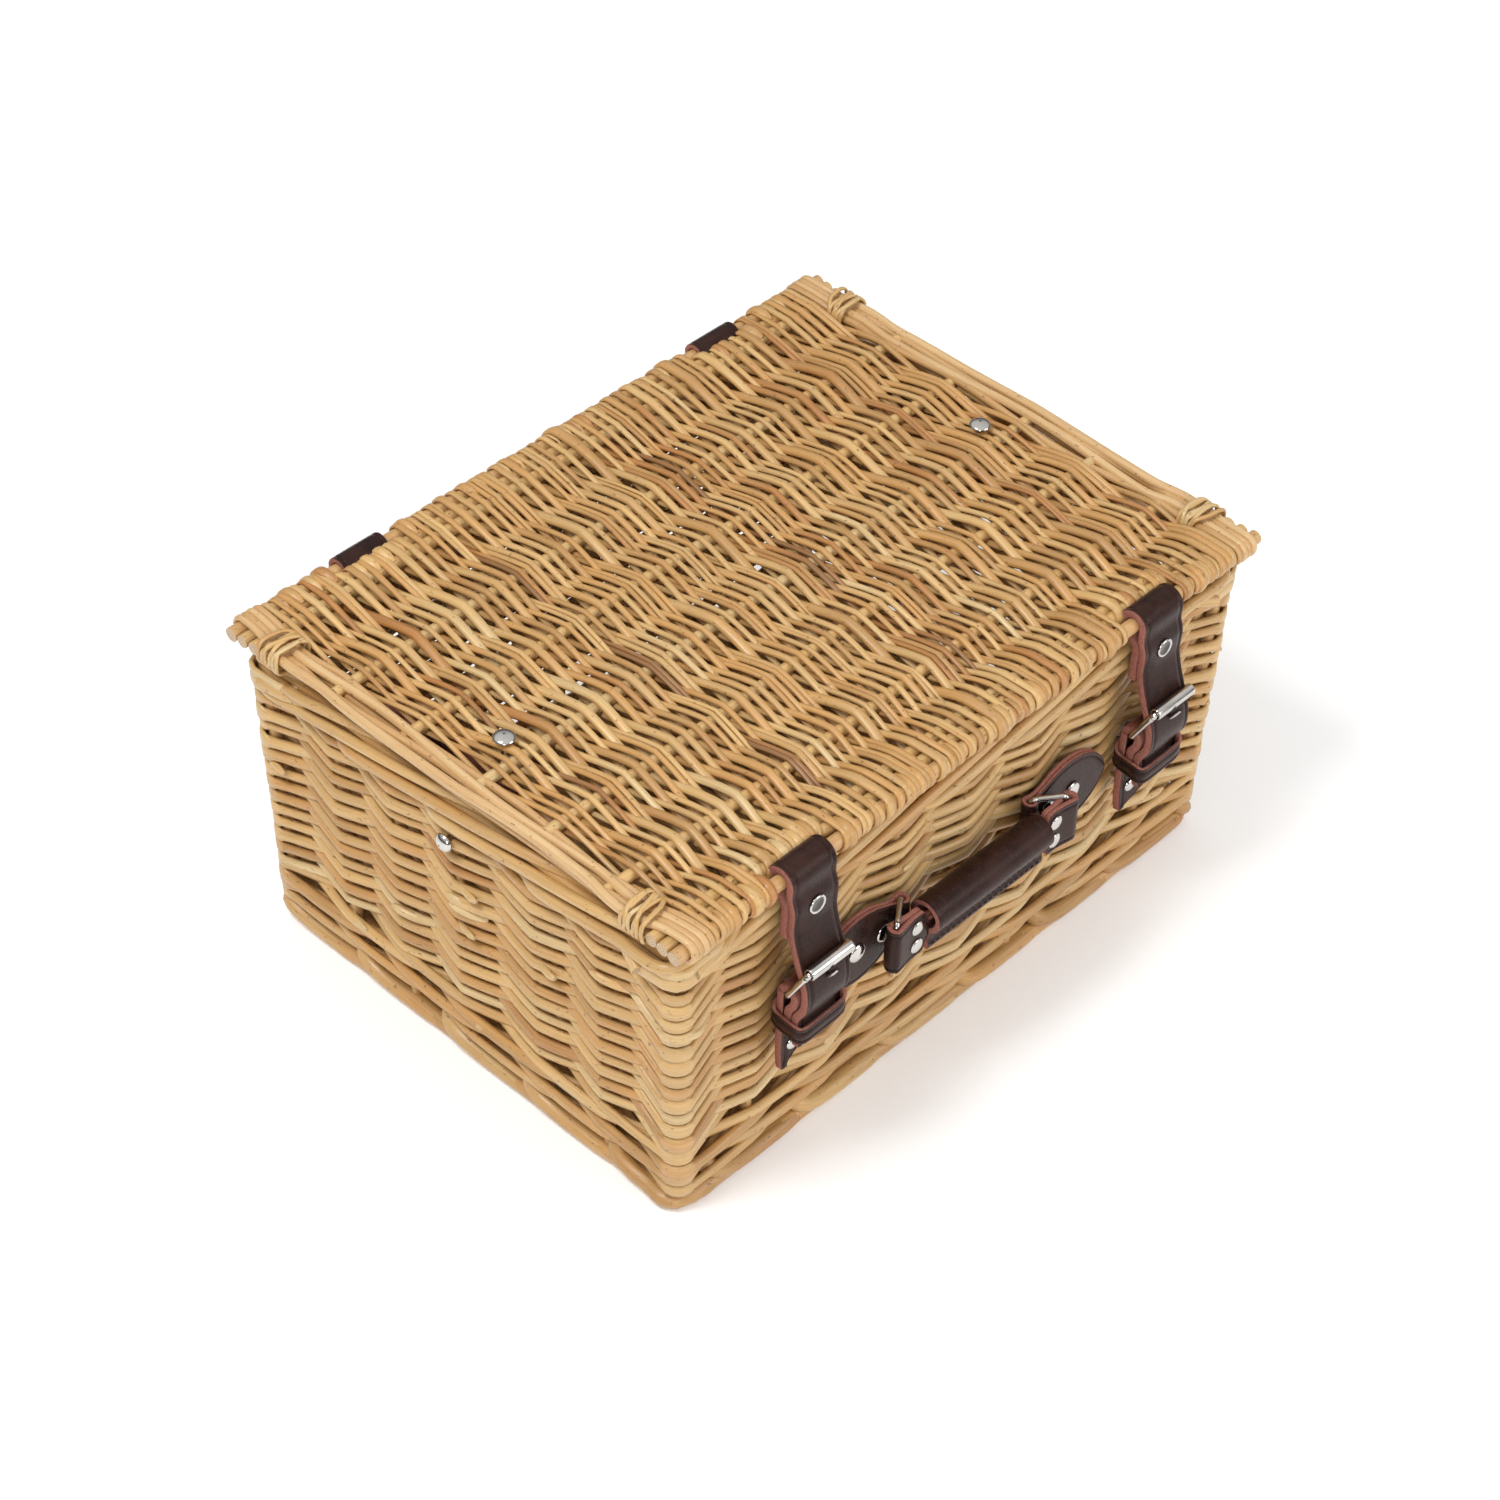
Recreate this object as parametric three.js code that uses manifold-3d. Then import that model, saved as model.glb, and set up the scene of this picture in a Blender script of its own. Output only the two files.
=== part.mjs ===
// Willow picnic hamper: woven box with a hinged woven lid, two leather buckle straps and a
// rolled leather carrying handle. Millimetres, +Z up, origin at the middle of the underside.
// The front, with the buckles and the handle, faces -Y; the lid hinges along the back, at +Y.

import * as THREE from 'three';
import { mergeVertices } from 'three/addons/utils/BufferGeometryUtils.js';
import Module from 'manifold-3d';

const wasm = await Module();
wasm.setup();

// ---------------------------------------------------------------- driving dimensions

const GAP = 0.3; // clearance between neighbouring pieces

// Box, measured over the weave at the rim; it narrows slightly towards the floor.
const RIM_HALF_X = 175.5;
const RIM_HALF_Y = 128.5;
const BASE_HALF_X = 170;
const BASE_HALF_Y = 126.5;
const RIM_LEVEL = 148;
const WALL = 13;
const CORNER_WIDTH = 20;
const CORNER_ROUND = 13;
const WALL_BOTTOM = 12.3;
const WALL_TOP = 140;
const WALL_ROWS = 15;
const ROW_DEPTH = 1.4;
const ROW_SLOPE = 0.3; // share of a row's height that slopes at its bottom, and again at its top
const BASE_THICKNESS = 9;
const BORDER_HALF_WIDTH = 7.4;
const FOOT_HALF_HEIGHT = 6;
const RIM_HALF_HEIGHT = 9;
const BORDER_CORNER = 12;
const BORDER_SIDES = 10;

// Lid.
const STICK_Y = 129;
const STICK_Z = 166;
const STICK_RADIUS = 3.3;
const STICK_PITCH = 6.5;
const INNER_STICK_RADIUS = 2.9;
const LID_HALF_X = 177.5;
const LID_HALF_Y = 135.5;
const LID_BOTTOM = 159.2;
const LID_TOP = 172.4;
const LID_ROUND = 4;
const STICK_OVERLAP = 3; // how far the short inner stick ends run into the weave
const WEAVE_HALF_X = 171;
const WEAVE_INSET_X = 160.6;
const RIB_PITCH = 16;
const RIB_DEPTH = 1;
const NOTCH_HALF_WIDTH = 16;
const NOTCH_Y = 121.1;
const ROD_INNER_X = 163;
const ROD_OUTER_X = 176;
const ROD_RADIUS = 3.4;
const ROD_Z = STICK_Z + 0.5;
const ROD_END_Y = 112.7;
const BINDING_START_Y = 99.5;
const BINDING_END_Y = 112.5;
const BINDING_THICKNESS = 1.5;
const BINDING_ROUND = 3.5;

// Leather.
const LEATHER = 2.3;
const STRAP_LEATHER = 3.8; // the buckle straps are cut from thicker leather
const LEATHER_SLACK = 0.3; // how far the hinge loops stand off the wall
const STRAP_WIDTH = 25;
const STRAP_X = 107;
const STUD_SHANK = 1.6;
const STUD_CAP = 4.8;
const STUD_DOME = 1.5;
const INNER_CAP = 0.8; // share of the outer cap's radius
const INNER_CAP_THICKNESS = 0.9;
const STUD_SIDES = 10;
const HOLE_SPARE = 0.35; // by which a stud's hole is wider than its shank
const HOLE_OVERRUN = 5; // how far a hole's cutter passes each face
const STRAP_RIVET_DOME = 0.9;
const HANDLE_RIVET_CAP = 3.6;
const HANDLE_RIVET_SHANK = 1.3;
const HANDLE_RIVET_DOME = 1;
const LOWER_STUD_CAP = 3.4;
const WALL_STUD_CAP = 4.4;
const WALL_STUD_DOME = 3;

// Buckles.
const HEEL_Y = -135.7;
const HEEL_Z = 106;
const ROLLER_Y = -146.3;
const ROLLER_Z = 126;
const WIRE = 1.5;
const FRAME_HALF_WIDTH = 14.5;
const FRAME_BEND = 2.2;
const ROLLER_RADIUS = 3;
const ROLLER_LENGTH = 24;
const PRONG_RADIUS = 1.2;
const PRONG_EYE = 2.3; // how far its eye reaches outside the heel bar
const SLOT_DEPTH = 6.4;
const PRONG_TIP_Y = -150.7;
const PRONG_TIP_Z = 122.6;

// Carrying handle, centred a little left of the middle of the front.
const HANDLE_X = -8;
const RING_BAR_X = 40.4;
const GRIP_BAR_X = 54;
const RING_BAR_Y = -132.2;
const GRIP_BAR_Y = -142;
const RING_TOP = 110.2;
const RING_BOTTOM = 83;
const RING_WIRE = 1.4;
const LOOP_HALF_HEIGHT = 11.8;
const GRIP_HALF_LENGTH = 36;
const GRIP_RADIUS = 8;
const GRIP_FLANGE = 5.2;
const FLANGE_BELOW = 1.4; // how far the grip's flange hangs below the loops
const TAB_END_X = 89.5;
const TAB_HALF_HEIGHT = 18.5;
const TAB_BELLY_X = 66; // where the tab is tallest
const TAB_STUDS = [51, 67.5];

// Stays that stop the lid just past upright.
const STAY_WIDTH = 14;
const STAY_THICKNESS = 2;
const STAY_WALL_X = 160.4;
const STAY_LID_X = 144;
const STAY_WALL_Y = 3;
const STAY_WALL_Z = 133;
const STAY_FOLD_Y = 96;
const STAY_FOLD_Z = 106;
const STAY_BEND_Y = 22; // where the leg under the lid turns flat against it
const STAY_BEND_Z = 148;
const STAY_PAD_Y = 24; // back end of the pad that lies flat under the lid
const STAY_LEG_OFFSET = 4; // from the lid stud to the leg beside it

// ---------------------------------------------------------------- materials

const material = (name, color, roughness, metalness) =>
  new THREE.MeshStandardMaterial({ name, color, roughness, metalness });

const willow = () => material('willow', 0xd0a66c, 0.6, 0);
const willowDark = () => material('willow_stick', 0xc39055, 0.6, 0);
const leather = () => material('leather', 0x3b2926, 0.5, 0);
const metal = () => material('nickel', 0xc9c6c0, 0.25, 1);

// ---------------------------------------------------------------- shape helpers

const root = new THREE.Group();

function add(name, geometry, surface) {
  const mesh = new THREE.Mesh(geometry, surface);
  mesh.name = name;
  root.add(mesh);
}

function toSolid(geometry) {
  const bare = geometry.clone();
  bare.deleteAttribute('normal');
  bare.deleteAttribute('uv');
  const merged = mergeVertices(bare, 1e-4);
  const vertProperties = new Float32Array(merged.attributes.position.array);
  const triVerts = new Uint32Array(merged.index.array);
  return new wasm.Manifold(new wasm.Mesh({ numProp: 3, vertProperties, triVerts }));
}

function toGeometry(solid) {
  const mesh = solid.getMesh();
  const geometry = new THREE.BufferGeometry();
  geometry.setAttribute('position', new THREE.BufferAttribute(mesh.vertProperties, 3));
  geometry.setIndex(new THREE.BufferAttribute(mesh.triVerts, 1));
  return geometry;
}

function subtract(geometry, ...tools) {
  return toGeometry(tools.reduce((solid, tool) => solid.subtract(toSolid(tool)), toSolid(geometry)));
}

function unite(geometry, ...others) {
  return toGeometry(others.reduce((solid, other) => solid.add(toSolid(other)), toSolid(geometry)));
}

function intersect(geometry, other) {
  return toGeometry(toSolid(geometry).intersect(toSolid(other)));
}

// A flat outline drawn across one axis and carried along it. Outlines across X hold (y, z)
// pairs, across Y (x, z) pairs and across Z (x, y) pairs.
function prism(axis, outline, from, to) {
  const drawn = Array.isArray(outline);
  const shape = drawn ? new THREE.Shape(outline.map(([a, b]) => new THREE.Vector2(a, b))) : outline;
  const options = { depth: to - from, bevelEnabled: false, curveSegments: 4 };
  const geometry = new THREE.ExtrudeGeometry(shape, options);
  if (axis === 'x') {
    geometry.applyMatrix4(new THREE.Matrix4().set(0, 0, 1, from, 1, 0, 0, 0, 0, 1, 0, 0, 0, 0, 0, 1));
  } else if (axis === 'y') {
    geometry.applyMatrix4(new THREE.Matrix4().set(1, 0, 0, 0, 0, 0, -1, to, 0, 1, 0, 0, 0, 0, 0, 1));
  } else {
    geometry.translate(0, 0, from);
  }
  return geometry;
}

function box(x0, x1, y0, y1, z0, z1) {
  const geometry = new THREE.BoxGeometry(x1 - x0, y1 - y0, z1 - z0);
  return geometry.translate((x0 + x1) / 2, (y0 + y1) / 2, (z0 + z1) / 2);
}

function rod(axis, radius, from, to, a, b, sides = 12) {
  const outline = [];
  for (let i = 0; i < sides; i += 1) {
    const turn = (2 * Math.PI * (i + 0.5)) / sides;
    outline.push([a + radius * Math.cos(turn), b + radius * Math.sin(turn)]);
  }
  return prism(axis, outline, from, to);
}

function roundedRectangle(halfX, halfY, corner) {
  const shape = new THREE.Shape();
  shape.moveTo(halfX, halfY - corner);
  shape.absarc(halfX - corner, halfY - corner, corner, 0, Math.PI / 2);
  shape.absarc(-halfX + corner, halfY - corner, corner, Math.PI / 2, Math.PI);
  shape.absarc(-halfX + corner, -halfY + corner, corner, Math.PI, 1.5 * Math.PI);
  shape.absarc(halfX - corner, -halfY + corner, corner, 1.5 * Math.PI, 2 * Math.PI);
  return shape;
}

// A torus whose four quarters are moved apart, so that it becomes a closed rod bent round a
// rectangle in the XY plane. halfX and halfY reach the middle of the rod.
function bentRing(halfX, halfY, bend, tube, sides) {
  const quarter = 4;
  const geometry = new THREE.TorusGeometry(bend, tube, sides, 4 * quarter);
  geometry.rotateZ(Math.PI / (4 * quarter));
  const position = geometry.attributes.position;
  for (let i = 0; i < position.count; i += 1) {
    const x = position.getX(i);
    const y = position.getY(i);
    position.setX(i, x + Math.sign(x) * (halfX - bend));
    position.setY(i, y + Math.sign(y) * (halfY - bend));
  }
  return geometry;
}

// The box leans outwards: lengths across it grow in proportion to the height.
function lean(geometry) {
  const position = geometry.attributes.position;
  for (let i = 0; i < position.count; i += 1) {
    const rise = position.getZ(i) / RIM_LEVEL;
    position.setX(i, (position.getX(i) * (BASE_HALF_X + (RIM_HALF_X - BASE_HALF_X) * rise)) / RIM_HALF_X);
    position.setY(i, (position.getY(i) * (BASE_HALF_Y + (RIM_HALF_Y - BASE_HALF_Y) * rise)) / RIM_HALF_Y);
  }
  return geometry;
}

const wallFaceY = (z) => BASE_HALF_Y + ((RIM_HALF_Y - BASE_HALF_Y) * z) / RIM_LEVEL;
const wallFaceX = (z) => BASE_HALF_X + ((RIM_HALF_X - BASE_HALF_X) * z) / RIM_LEVEL;

// Outline of a band of leather laid along a centre line.
function bandOutline(line, thickness) {
  const left = [];
  const right = [];
  line.forEach(([a, b], i) => {
    const before = line[Math.max(i - 1, 0)];
    const after = line[Math.min(i + 1, line.length - 1)];
    const into = new THREE.Vector2(a - before[0], b - before[1]).normalize();
    const out = new THREE.Vector2(after[0] - a, after[1] - b).normalize();
    const along = into.clone().add(out).normalize();
    const spread = thickness / 2 / Math.max(along.dot(i > 0 ? into : out), 0.6);
    left.push([a - along.y * spread, b + along.x * spread]);
    right.push([a + along.y * spread, b - along.x * spread]);
  });
  return left.concat(right.reverse());
}

function arc(centreA, centreB, radius, from, to, steps) {
  const points = [];
  for (let i = 0; i <= steps; i += 1) {
    const turn = THREE.MathUtils.degToRad(from + ((to - from) * i) / steps);
    points.push([centreA + radius * Math.cos(turn), centreB + radius * Math.sin(turn)]);
  }
  return points;
}

// A stud or rivet: a domed cap, a shank of the given length and a flat cap at its far end.
// It stands at `point`, on the surface, with its shank going along `into`.
function stud(point, into, length, cap = STUD_CAP, shank = STUD_SHANK, dome = STUD_DOME) {
  const profile = [
    [0, -dome],
    [cap * 0.55, -dome * 0.85],
    [cap, -dome * 0.25],
    [cap, 0],
    [shank, 0],
    [shank, length],
    [cap * INNER_CAP, length],
    [cap * INNER_CAP, length + INNER_CAP_THICKNESS],
    [0, length + INNER_CAP_THICKNESS],
  ];
  const outline = profile.map(([radius, height]) => new THREE.Vector2(radius, height));
  const geometry = new THREE.LatheGeometry(outline, STUD_SIDES);
  const turn = new THREE.Quaternion().setFromUnitVectors(new THREE.Vector3(0, 1, 0), into);
  geometry.applyQuaternion(turn);
  return geometry.translate(point.x, point.y, point.z);
}

const INTO_FRONT = new THREE.Vector3(0, 1, 0);
const INTO_BACK = new THREE.Vector3(0, -1, 0);
const DOWN = new THREE.Vector3(0, 0, -1);
const SIDES = [
  ['left', -1],
  ['right', 1],
];

// ---------------------------------------------------------------- box

function rowedProfile(outer, inner) {
  const pitch = (WALL_TOP - WALL_BOTTOM) / WALL_ROWS;
  const outside = [];
  const inside = [];
  for (let row = 0; row < WALL_ROWS; row += 1) {
    const z = WALL_BOTTOM + row * pitch;
    outside.push([outer - ROW_DEPTH, z]);
    outside.push([outer, z + pitch * ROW_SLOPE], [outer, z + pitch * (1 - ROW_SLOPE)]);
    inside.push([inner + ROW_DEPTH, z], [inner, z + pitch / 2]);
  }
  outside.push([outer - ROW_DEPTH, WALL_TOP]);
  inside.push([inner + ROW_DEPTH, WALL_TOP]);
  return outside.concat(inside.reverse());
}

function frontOrBackWall(side) {
  const outline = rowedProfile(RIM_HALF_Y, RIM_HALF_Y - WALL).map(([y, z]) => [side * y, z]);
  const end = RIM_HALF_X - CORNER_WIDTH - GAP;
  return lean(prism('x', outline, -end, end));
}

function endWall(side) {
  const outline = rowedProfile(RIM_HALF_X, RIM_HALF_X - WALL).map(([x, z]) => [side * x, z]);
  const end = RIM_HALF_Y - CORNER_WIDTH - GAP;
  return lean(prism('y', outline, -end, end));
}

function cornerPost(sideX, sideY) {
  const corner = arc(
    RIM_HALF_X - CORNER_ROUND,
    RIM_HALF_Y - CORNER_ROUND,
    CORNER_ROUND,
    0,
    90,
    5,
  );
  const inX = RIM_HALF_X - CORNER_WIDTH;
  const inY = RIM_HALF_Y - CORNER_WIDTH;
  const inner = [[inX, RIM_HALF_Y], [inX, inY + CORNER_WIDTH - WALL], [inX + CORNER_WIDTH - WALL, inY]];
  const outline = corner.concat(inner, [[RIM_HALF_X, inY]]);
  return lean(prism('z', outline.map(([x, y]) => [sideX * x, sideY * y]), WALL_BOTTOM, WALL_TOP));
}

function border(halfHeight, level) {
  const halfX = RIM_HALF_X - BORDER_HALF_WIDTH;
  const halfY = RIM_HALF_Y - BORDER_HALF_WIDTH;
  const ring = bentRing(halfX, halfY, BORDER_CORNER, BORDER_HALF_WIDTH, BORDER_SIDES);
  ring.scale(1, 1, halfHeight / BORDER_HALF_WIDTH / Math.cos(Math.PI / BORDER_SIDES));
  return lean(ring.translate(0, 0, level));
}

function studHole(axis, radius, from, to, a, b) {
  return rod(axis, radius + HOLE_SPARE, from, to, a, b, STUD_SIDES);
}

const tabStudX = [-1, 1].flatMap((side) => TAB_STUDS.map((x) => HANDLE_X + side * x));
const RING_LEVEL = (RING_TOP + RING_BOTTOM) / 2;
const LOWER_STUD_Z = 72.8;
const LOWER_STUD_OFFSET = -6.3;
const HINGE_STUD_Z = 131;
const THROUGH_WALL = 30;

const frontHoles = tabStudX
  .map((x) => [x, RING_LEVEL])
  .concat(SIDES.map(([, side]) => [side * STRAP_X + LOWER_STUD_OFFSET, LOWER_STUD_Z]))
  .map(([x, z]) =>
    studHole('y', STUD_SHANK, -RIM_HALF_Y - HOLE_OVERRUN, -RIM_HALF_Y + THROUGH_WALL, x, z),
  );
const backHoles = SIDES.map(([, side]) => {
  const outside = RIM_HALF_Y + HOLE_OVERRUN;
  return studHole('y', STUD_SHANK, RIM_HALF_Y - THROUGH_WALL, outside, side * STRAP_X, HINGE_STUD_Z);
});

add('wall_front', subtract(frontOrBackWall(-1), ...frontHoles), willow());
add('wall_back', subtract(frontOrBackWall(1), ...backHoles), willow());
for (const [name, side] of SIDES) {
  const middle = side * RIM_HALF_X;
  const [inside, outside] = [middle - THROUGH_WALL, middle + THROUGH_WALL];
  const hole = studHole('x', STUD_SHANK, inside, outside, STAY_WALL_Y, STAY_WALL_Z);
  add(`wall_${name}`, subtract(endWall(side), hole), willow());
}
for (const [name, side] of SIDES) {
  add(`corner_post_front_${name}`, cornerPost(side, -1), willow());
  add(`corner_post_back_${name}`, cornerPost(side, 1), willow());
}

const baseHalfX = RIM_HALF_X - 2 * BORDER_HALF_WIDTH - GAP;
const baseHalfY = RIM_HALF_Y - 2 * BORDER_HALF_WIDTH - GAP;
const baseOutline = roundedRectangle(baseHalfX, baseHalfY, BORDER_CORNER / 2);
add('base_panel', lean(prism('z', baseOutline, 0, BASE_THICKNESS)), willow());
add('foot_border', border(FOOT_HALF_HEIGHT, FOOT_HALF_HEIGHT), willow());
add('rim_border', border(RIM_HALF_HEIGHT, WALL_TOP + GAP + RIM_HALF_HEIGHT), willow());

// ---------------------------------------------------------------- lid

function lidPlan() {
  const outline = [];
  const quarters = [[1, 1], [-1, 1], [-1, -1], [1, -1]];
  for (const [sideX, sideY] of quarters) {
    const path = [
      [WEAVE_INSET_X, ROD_END_Y + GAP],
      [WEAVE_HALF_X, ROD_END_Y + GAP],
      [WEAVE_HALF_X, LID_HALF_Y],
      [STRAP_X + NOTCH_HALF_WIDTH, LID_HALF_Y],
      [STRAP_X + NOTCH_HALF_WIDTH, NOTCH_Y],
      [STRAP_X - NOTCH_HALF_WIDTH, NOTCH_Y],
      [STRAP_X - NOTCH_HALF_WIDTH, LID_HALF_Y],
    ];
    const ordered = sideX * sideY > 0 ? path : path.reverse();
    ordered.forEach(([x, y]) => outline.push([sideX * x, sideY * y]));
  }
  return prism('z', outline, LID_BOTTOM, LID_TOP);
}

function lidRibs() {
  const top = [];
  const bottom = [];
  const count = Math.floor(WEAVE_HALF_X / RIB_PITCH) + 1;
  for (let i = -count; i <= count; i += 1) {
    const x = i * RIB_PITCH;
    top.push([x, LID_TOP], [x + RIB_PITCH / 2, LID_TOP - RIB_DEPTH]);
    bottom.push([x, LID_BOTTOM], [x + RIB_PITCH / 2, LID_BOTTOM + RIB_DEPTH]);
  }
  return prism('y', top.concat(bottom.reverse()), -LID_HALF_Y, LID_HALF_Y);
}

function lidEdges() {
  const round = LID_ROUND;
  const y = LID_HALF_Y;
  const outline = [
    [y, LID_BOTTOM + round],
    [y, LID_TOP - round],
    [y - round, LID_TOP],
    [-y + round, LID_TOP],
    [-y, LID_TOP - round],
    [-y, LID_BOTTOM + round],
    [-y + round, LID_BOTTOM],
    [y - round, LID_BOTTOM],
  ];
  return prism('x', outline, -LID_HALF_X, LID_HALF_X);
}

function lidWeave() {
  let weave = intersect(intersect(lidPlan(), lidRibs()), lidEdges());
  const innerSticks = [];
  const channels = [];
  for (const side of [-1, 1]) {
    channels.push(rod('x', STICK_RADIUS + GAP, -LID_HALF_X, LID_HALF_X, side * STICK_Y, STICK_Z));
    for (const row of [1, 2]) {
      const y = side * (STICK_Y - row * STICK_PITCH);
      for (const end of [-1, 1]) {
        const from = end > 0 ? WEAVE_HALF_X - STICK_OVERLAP : -LID_HALF_X;
        const to = from + LID_HALF_X - WEAVE_HALF_X + STICK_OVERLAP;
        innerSticks.push(rod('x', INNER_STICK_RADIUS, from, to, y, STICK_Z));
      }
    }
  }
  weave = unite(weave, ...innerSticks);
  const holes = SIDES.map(([, side]) =>
    studHole('z', STUD_SHANK, LID_BOTTOM - HOLE_OVERRUN, LID_TOP + HOLE_OVERRUN, side * STAY_LID_X, 0),
  );
  return subtract(weave, ...channels, ...holes);
}

// The rods along one end of the lid, as a band with rounded edges.
function edgeRods(side) {
  const inner = ROD_INNER_X + ROD_RADIUS;
  const outer = ROD_OUTER_X - ROD_RADIUS;
  const [right, left] = side > 0 ? [outer, inner] : [-inner, -outer];
  const outline = arc(right, ROD_Z, ROD_RADIUS, -75, 75, 4).concat(
    arc(left, ROD_Z, ROD_RADIUS, 105, 255, 4),
  );
  return prism('y', outline, -ROD_END_Y, ROD_END_Y);
}

function cornerBinding(sideX, sideY) {
  const middleX = (ROD_INNER_X + ROD_OUTER_X) / 2;
  const halfX = (ROD_OUTER_X - ROD_INNER_X) / 2 + GAP;
  const halfZ = ROD_RADIUS + GAP;
  const outer = roundedRectangle(halfX + BINDING_THICKNESS, halfZ + BINDING_THICKNESS, BINDING_ROUND);
  const inner = roundedRectangle(halfX, halfZ, BINDING_ROUND - BINDING_THICKNESS);
  outer.holes.push(new THREE.Path(inner.getPoints(3)));
  const from = sideY > 0 ? BINDING_START_Y : -BINDING_END_Y;
  const band = prism('y', outer, from, from + BINDING_END_Y - BINDING_START_Y);
  return band.translate(sideX * middleX, 0, ROD_Z);
}

add('lid_weave', lidWeave(), willow());
for (const [place, y] of [['front', -STICK_Y], ['back', STICK_Y]]) {
  add(`lid_stick_${place}`, rod('x', STICK_RADIUS, -LID_HALF_X, LID_HALF_X, y, STICK_Z), willowDark());
}
for (const [name, side] of SIDES) {
  add(`lid_rods_${name}`, edgeRods(side), willowDark());
  add(`lid_binding_front_${name}`, cornerBinding(side, -1), willow());
  add(`lid_binding_back_${name}`, cornerBinding(side, 1), willow());
  const top = new THREE.Vector3(side * STAY_LID_X, 0, LID_TOP + GAP / 2);
  const length = LID_TOP - LID_BOTTOM + STAY_THICKNESS + 3 * GAP;
  add(`lid_stud_${name}`, stud(top, DOWN, length), metal());
}

// ---------------------------------------------------------------- hinge loops at the back

const LOOP_RADIUS = STICK_RADIUS + GAP + LEATHER / 2;
const HINGE_LEG_TOP = 152;
const HINGE_LOOP_END = HINGE_STUD_Z - 8;

function hingeLoop(side) {
  const legY = wallFaceY(HINGE_STUD_Z) + GAP + LEATHER / 2 + LEATHER_SLACK;
  const outerY = legY + LEATHER + GAP;
  const line = [
    [legY, HINGE_LOOP_END],
    [legY, HINGE_LEG_TOP],
    [STICK_Y - 2.4, 159.6],
    ...arc(STICK_Y, STICK_Z, LOOP_RADIUS, 200, 0, 8),
    [STICK_Y + LOOP_RADIUS - 0.4, 159],
    [outerY, HINGE_LEG_TOP - 1],
    [outerY, HINGE_LOOP_END],
  ];
  const half = STRAP_WIDTH / 2;
  const band = prism('x', bandOutline(line, LEATHER), side * STRAP_X - half, side * STRAP_X + half);
  const [from, to] = [legY - HOLE_OVERRUN, legY + 2 * HOLE_OVERRUN];
  const hole = studHole('y', STUD_SHANK, from, to, side * STRAP_X, HINGE_STUD_Z);
  return subtract(band, hole);
}

for (const [name, side] of SIDES) {
  add(`hinge_loop_${name}`, hingeLoop(side), leather());
  const face = wallFaceY(HINGE_STUD_Z) + 2 * LEATHER + 3 * GAP + LEATHER_SLACK;
  const head = new THREE.Vector3(side * STRAP_X, face, HINGE_STUD_Z);
  const length = face - wallFaceY(HINGE_STUD_Z) + WALL + GAP;
  add(`hinge_stud_${name}`, stud(head, INTO_BACK, length), metal());
}

// ---------------------------------------------------------------- buckle straps at the front

const KEEPER_BOTTOM = 86;
const KEEPER_HEIGHT = 10;
const KEEPER_THICKNESS = 1.8;
const KEEPER_ROUND = 2.5;
const BACK_LAYER_Y = -131.9;
const FRONT_LAYER_Y = BACK_LAYER_Y - STRAP_LEATHER - GAP;
const TAIL_Y = FRONT_LAYER_Y - STRAP_LEATHER - GAP - 0.2;
const STRAP_LOOP_RADIUS = STICK_RADIUS + GAP + STRAP_LEATHER / 2;
// Where the strap runs between its rivet and the keeper, under the roller, as (y, z).
const STRAP_RUN = [
  [-137.8, 134],
  [-140.6, 126],
  [-143.9, 117],
  [-144.9, 109],
  [-144.1, 103.6],
  [-141.8, 99.3],
];
const STRAP_TAIL = [
  [TAIL_Y, 96.8],
  [TAIL_Y, 87],
  [TAIL_Y - 0.8, 81],
];
const PRONG_HOLE = { halfWidth: 2, low: 110.5, high: 121 };
const SPARE_HOLE = { halfWidth: 1.6, low: 98, high: 102 };
const HOLE_OUTSIDE_Y = -155;
const HOLE_INSIDE_Y = -138.2;
const STRAP_RIVET_Z = 151.5;
const LOWER_STRAP_END = 61;
// The lower straps are cut askew: how much higher the right corner of each is than the left.
const LEFT_RISE = 15;
const RIGHT_RISE = 7;
const INNER_LEG_Y = -131.75;
const OUTER_LEG_Y = INNER_LEG_Y - STRAP_LEATHER - GAP;

function lidStrap(side) {
  const line = [
    [INNER_LEG_Y, 137],
    [INNER_LEG_Y, 156],
    [-STICK_Y + 2.2, 159.7],
    ...arc(-STICK_Y, STICK_Z, STRAP_LOOP_RADIUS, -30, 180, 8),
    [-STICK_Y - STRAP_LOOP_RADIUS + 0.2, 159],
    [OUTER_LEG_Y, 155],
    [OUTER_LEG_Y, 142],
    ...STRAP_RUN,
    ...STRAP_TAIL,
  ];
  const half = STRAP_WIDTH / 2;
  const x = side * STRAP_X;
  const band = prism('x', bandOutline(line, STRAP_LEATHER), x - half, x + half);
  const [from, to] = [OUTER_LEG_Y - HOLE_OVERRUN, INNER_LEG_Y + HOLE_OVERRUN];
  const rivetHole = studHole('y', STUD_SHANK, from, to, x, STRAP_RIVET_Z);
  const slots = [PRONG_HOLE, SPARE_HOLE].map(({ halfWidth, low, high }) =>
    box(x - halfWidth, x + halfWidth, HOLE_OUTSIDE_Y, HOLE_INSIDE_Y, low, high),
  );
  return subtract(band, rivetHole, ...slots);
}

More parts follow.
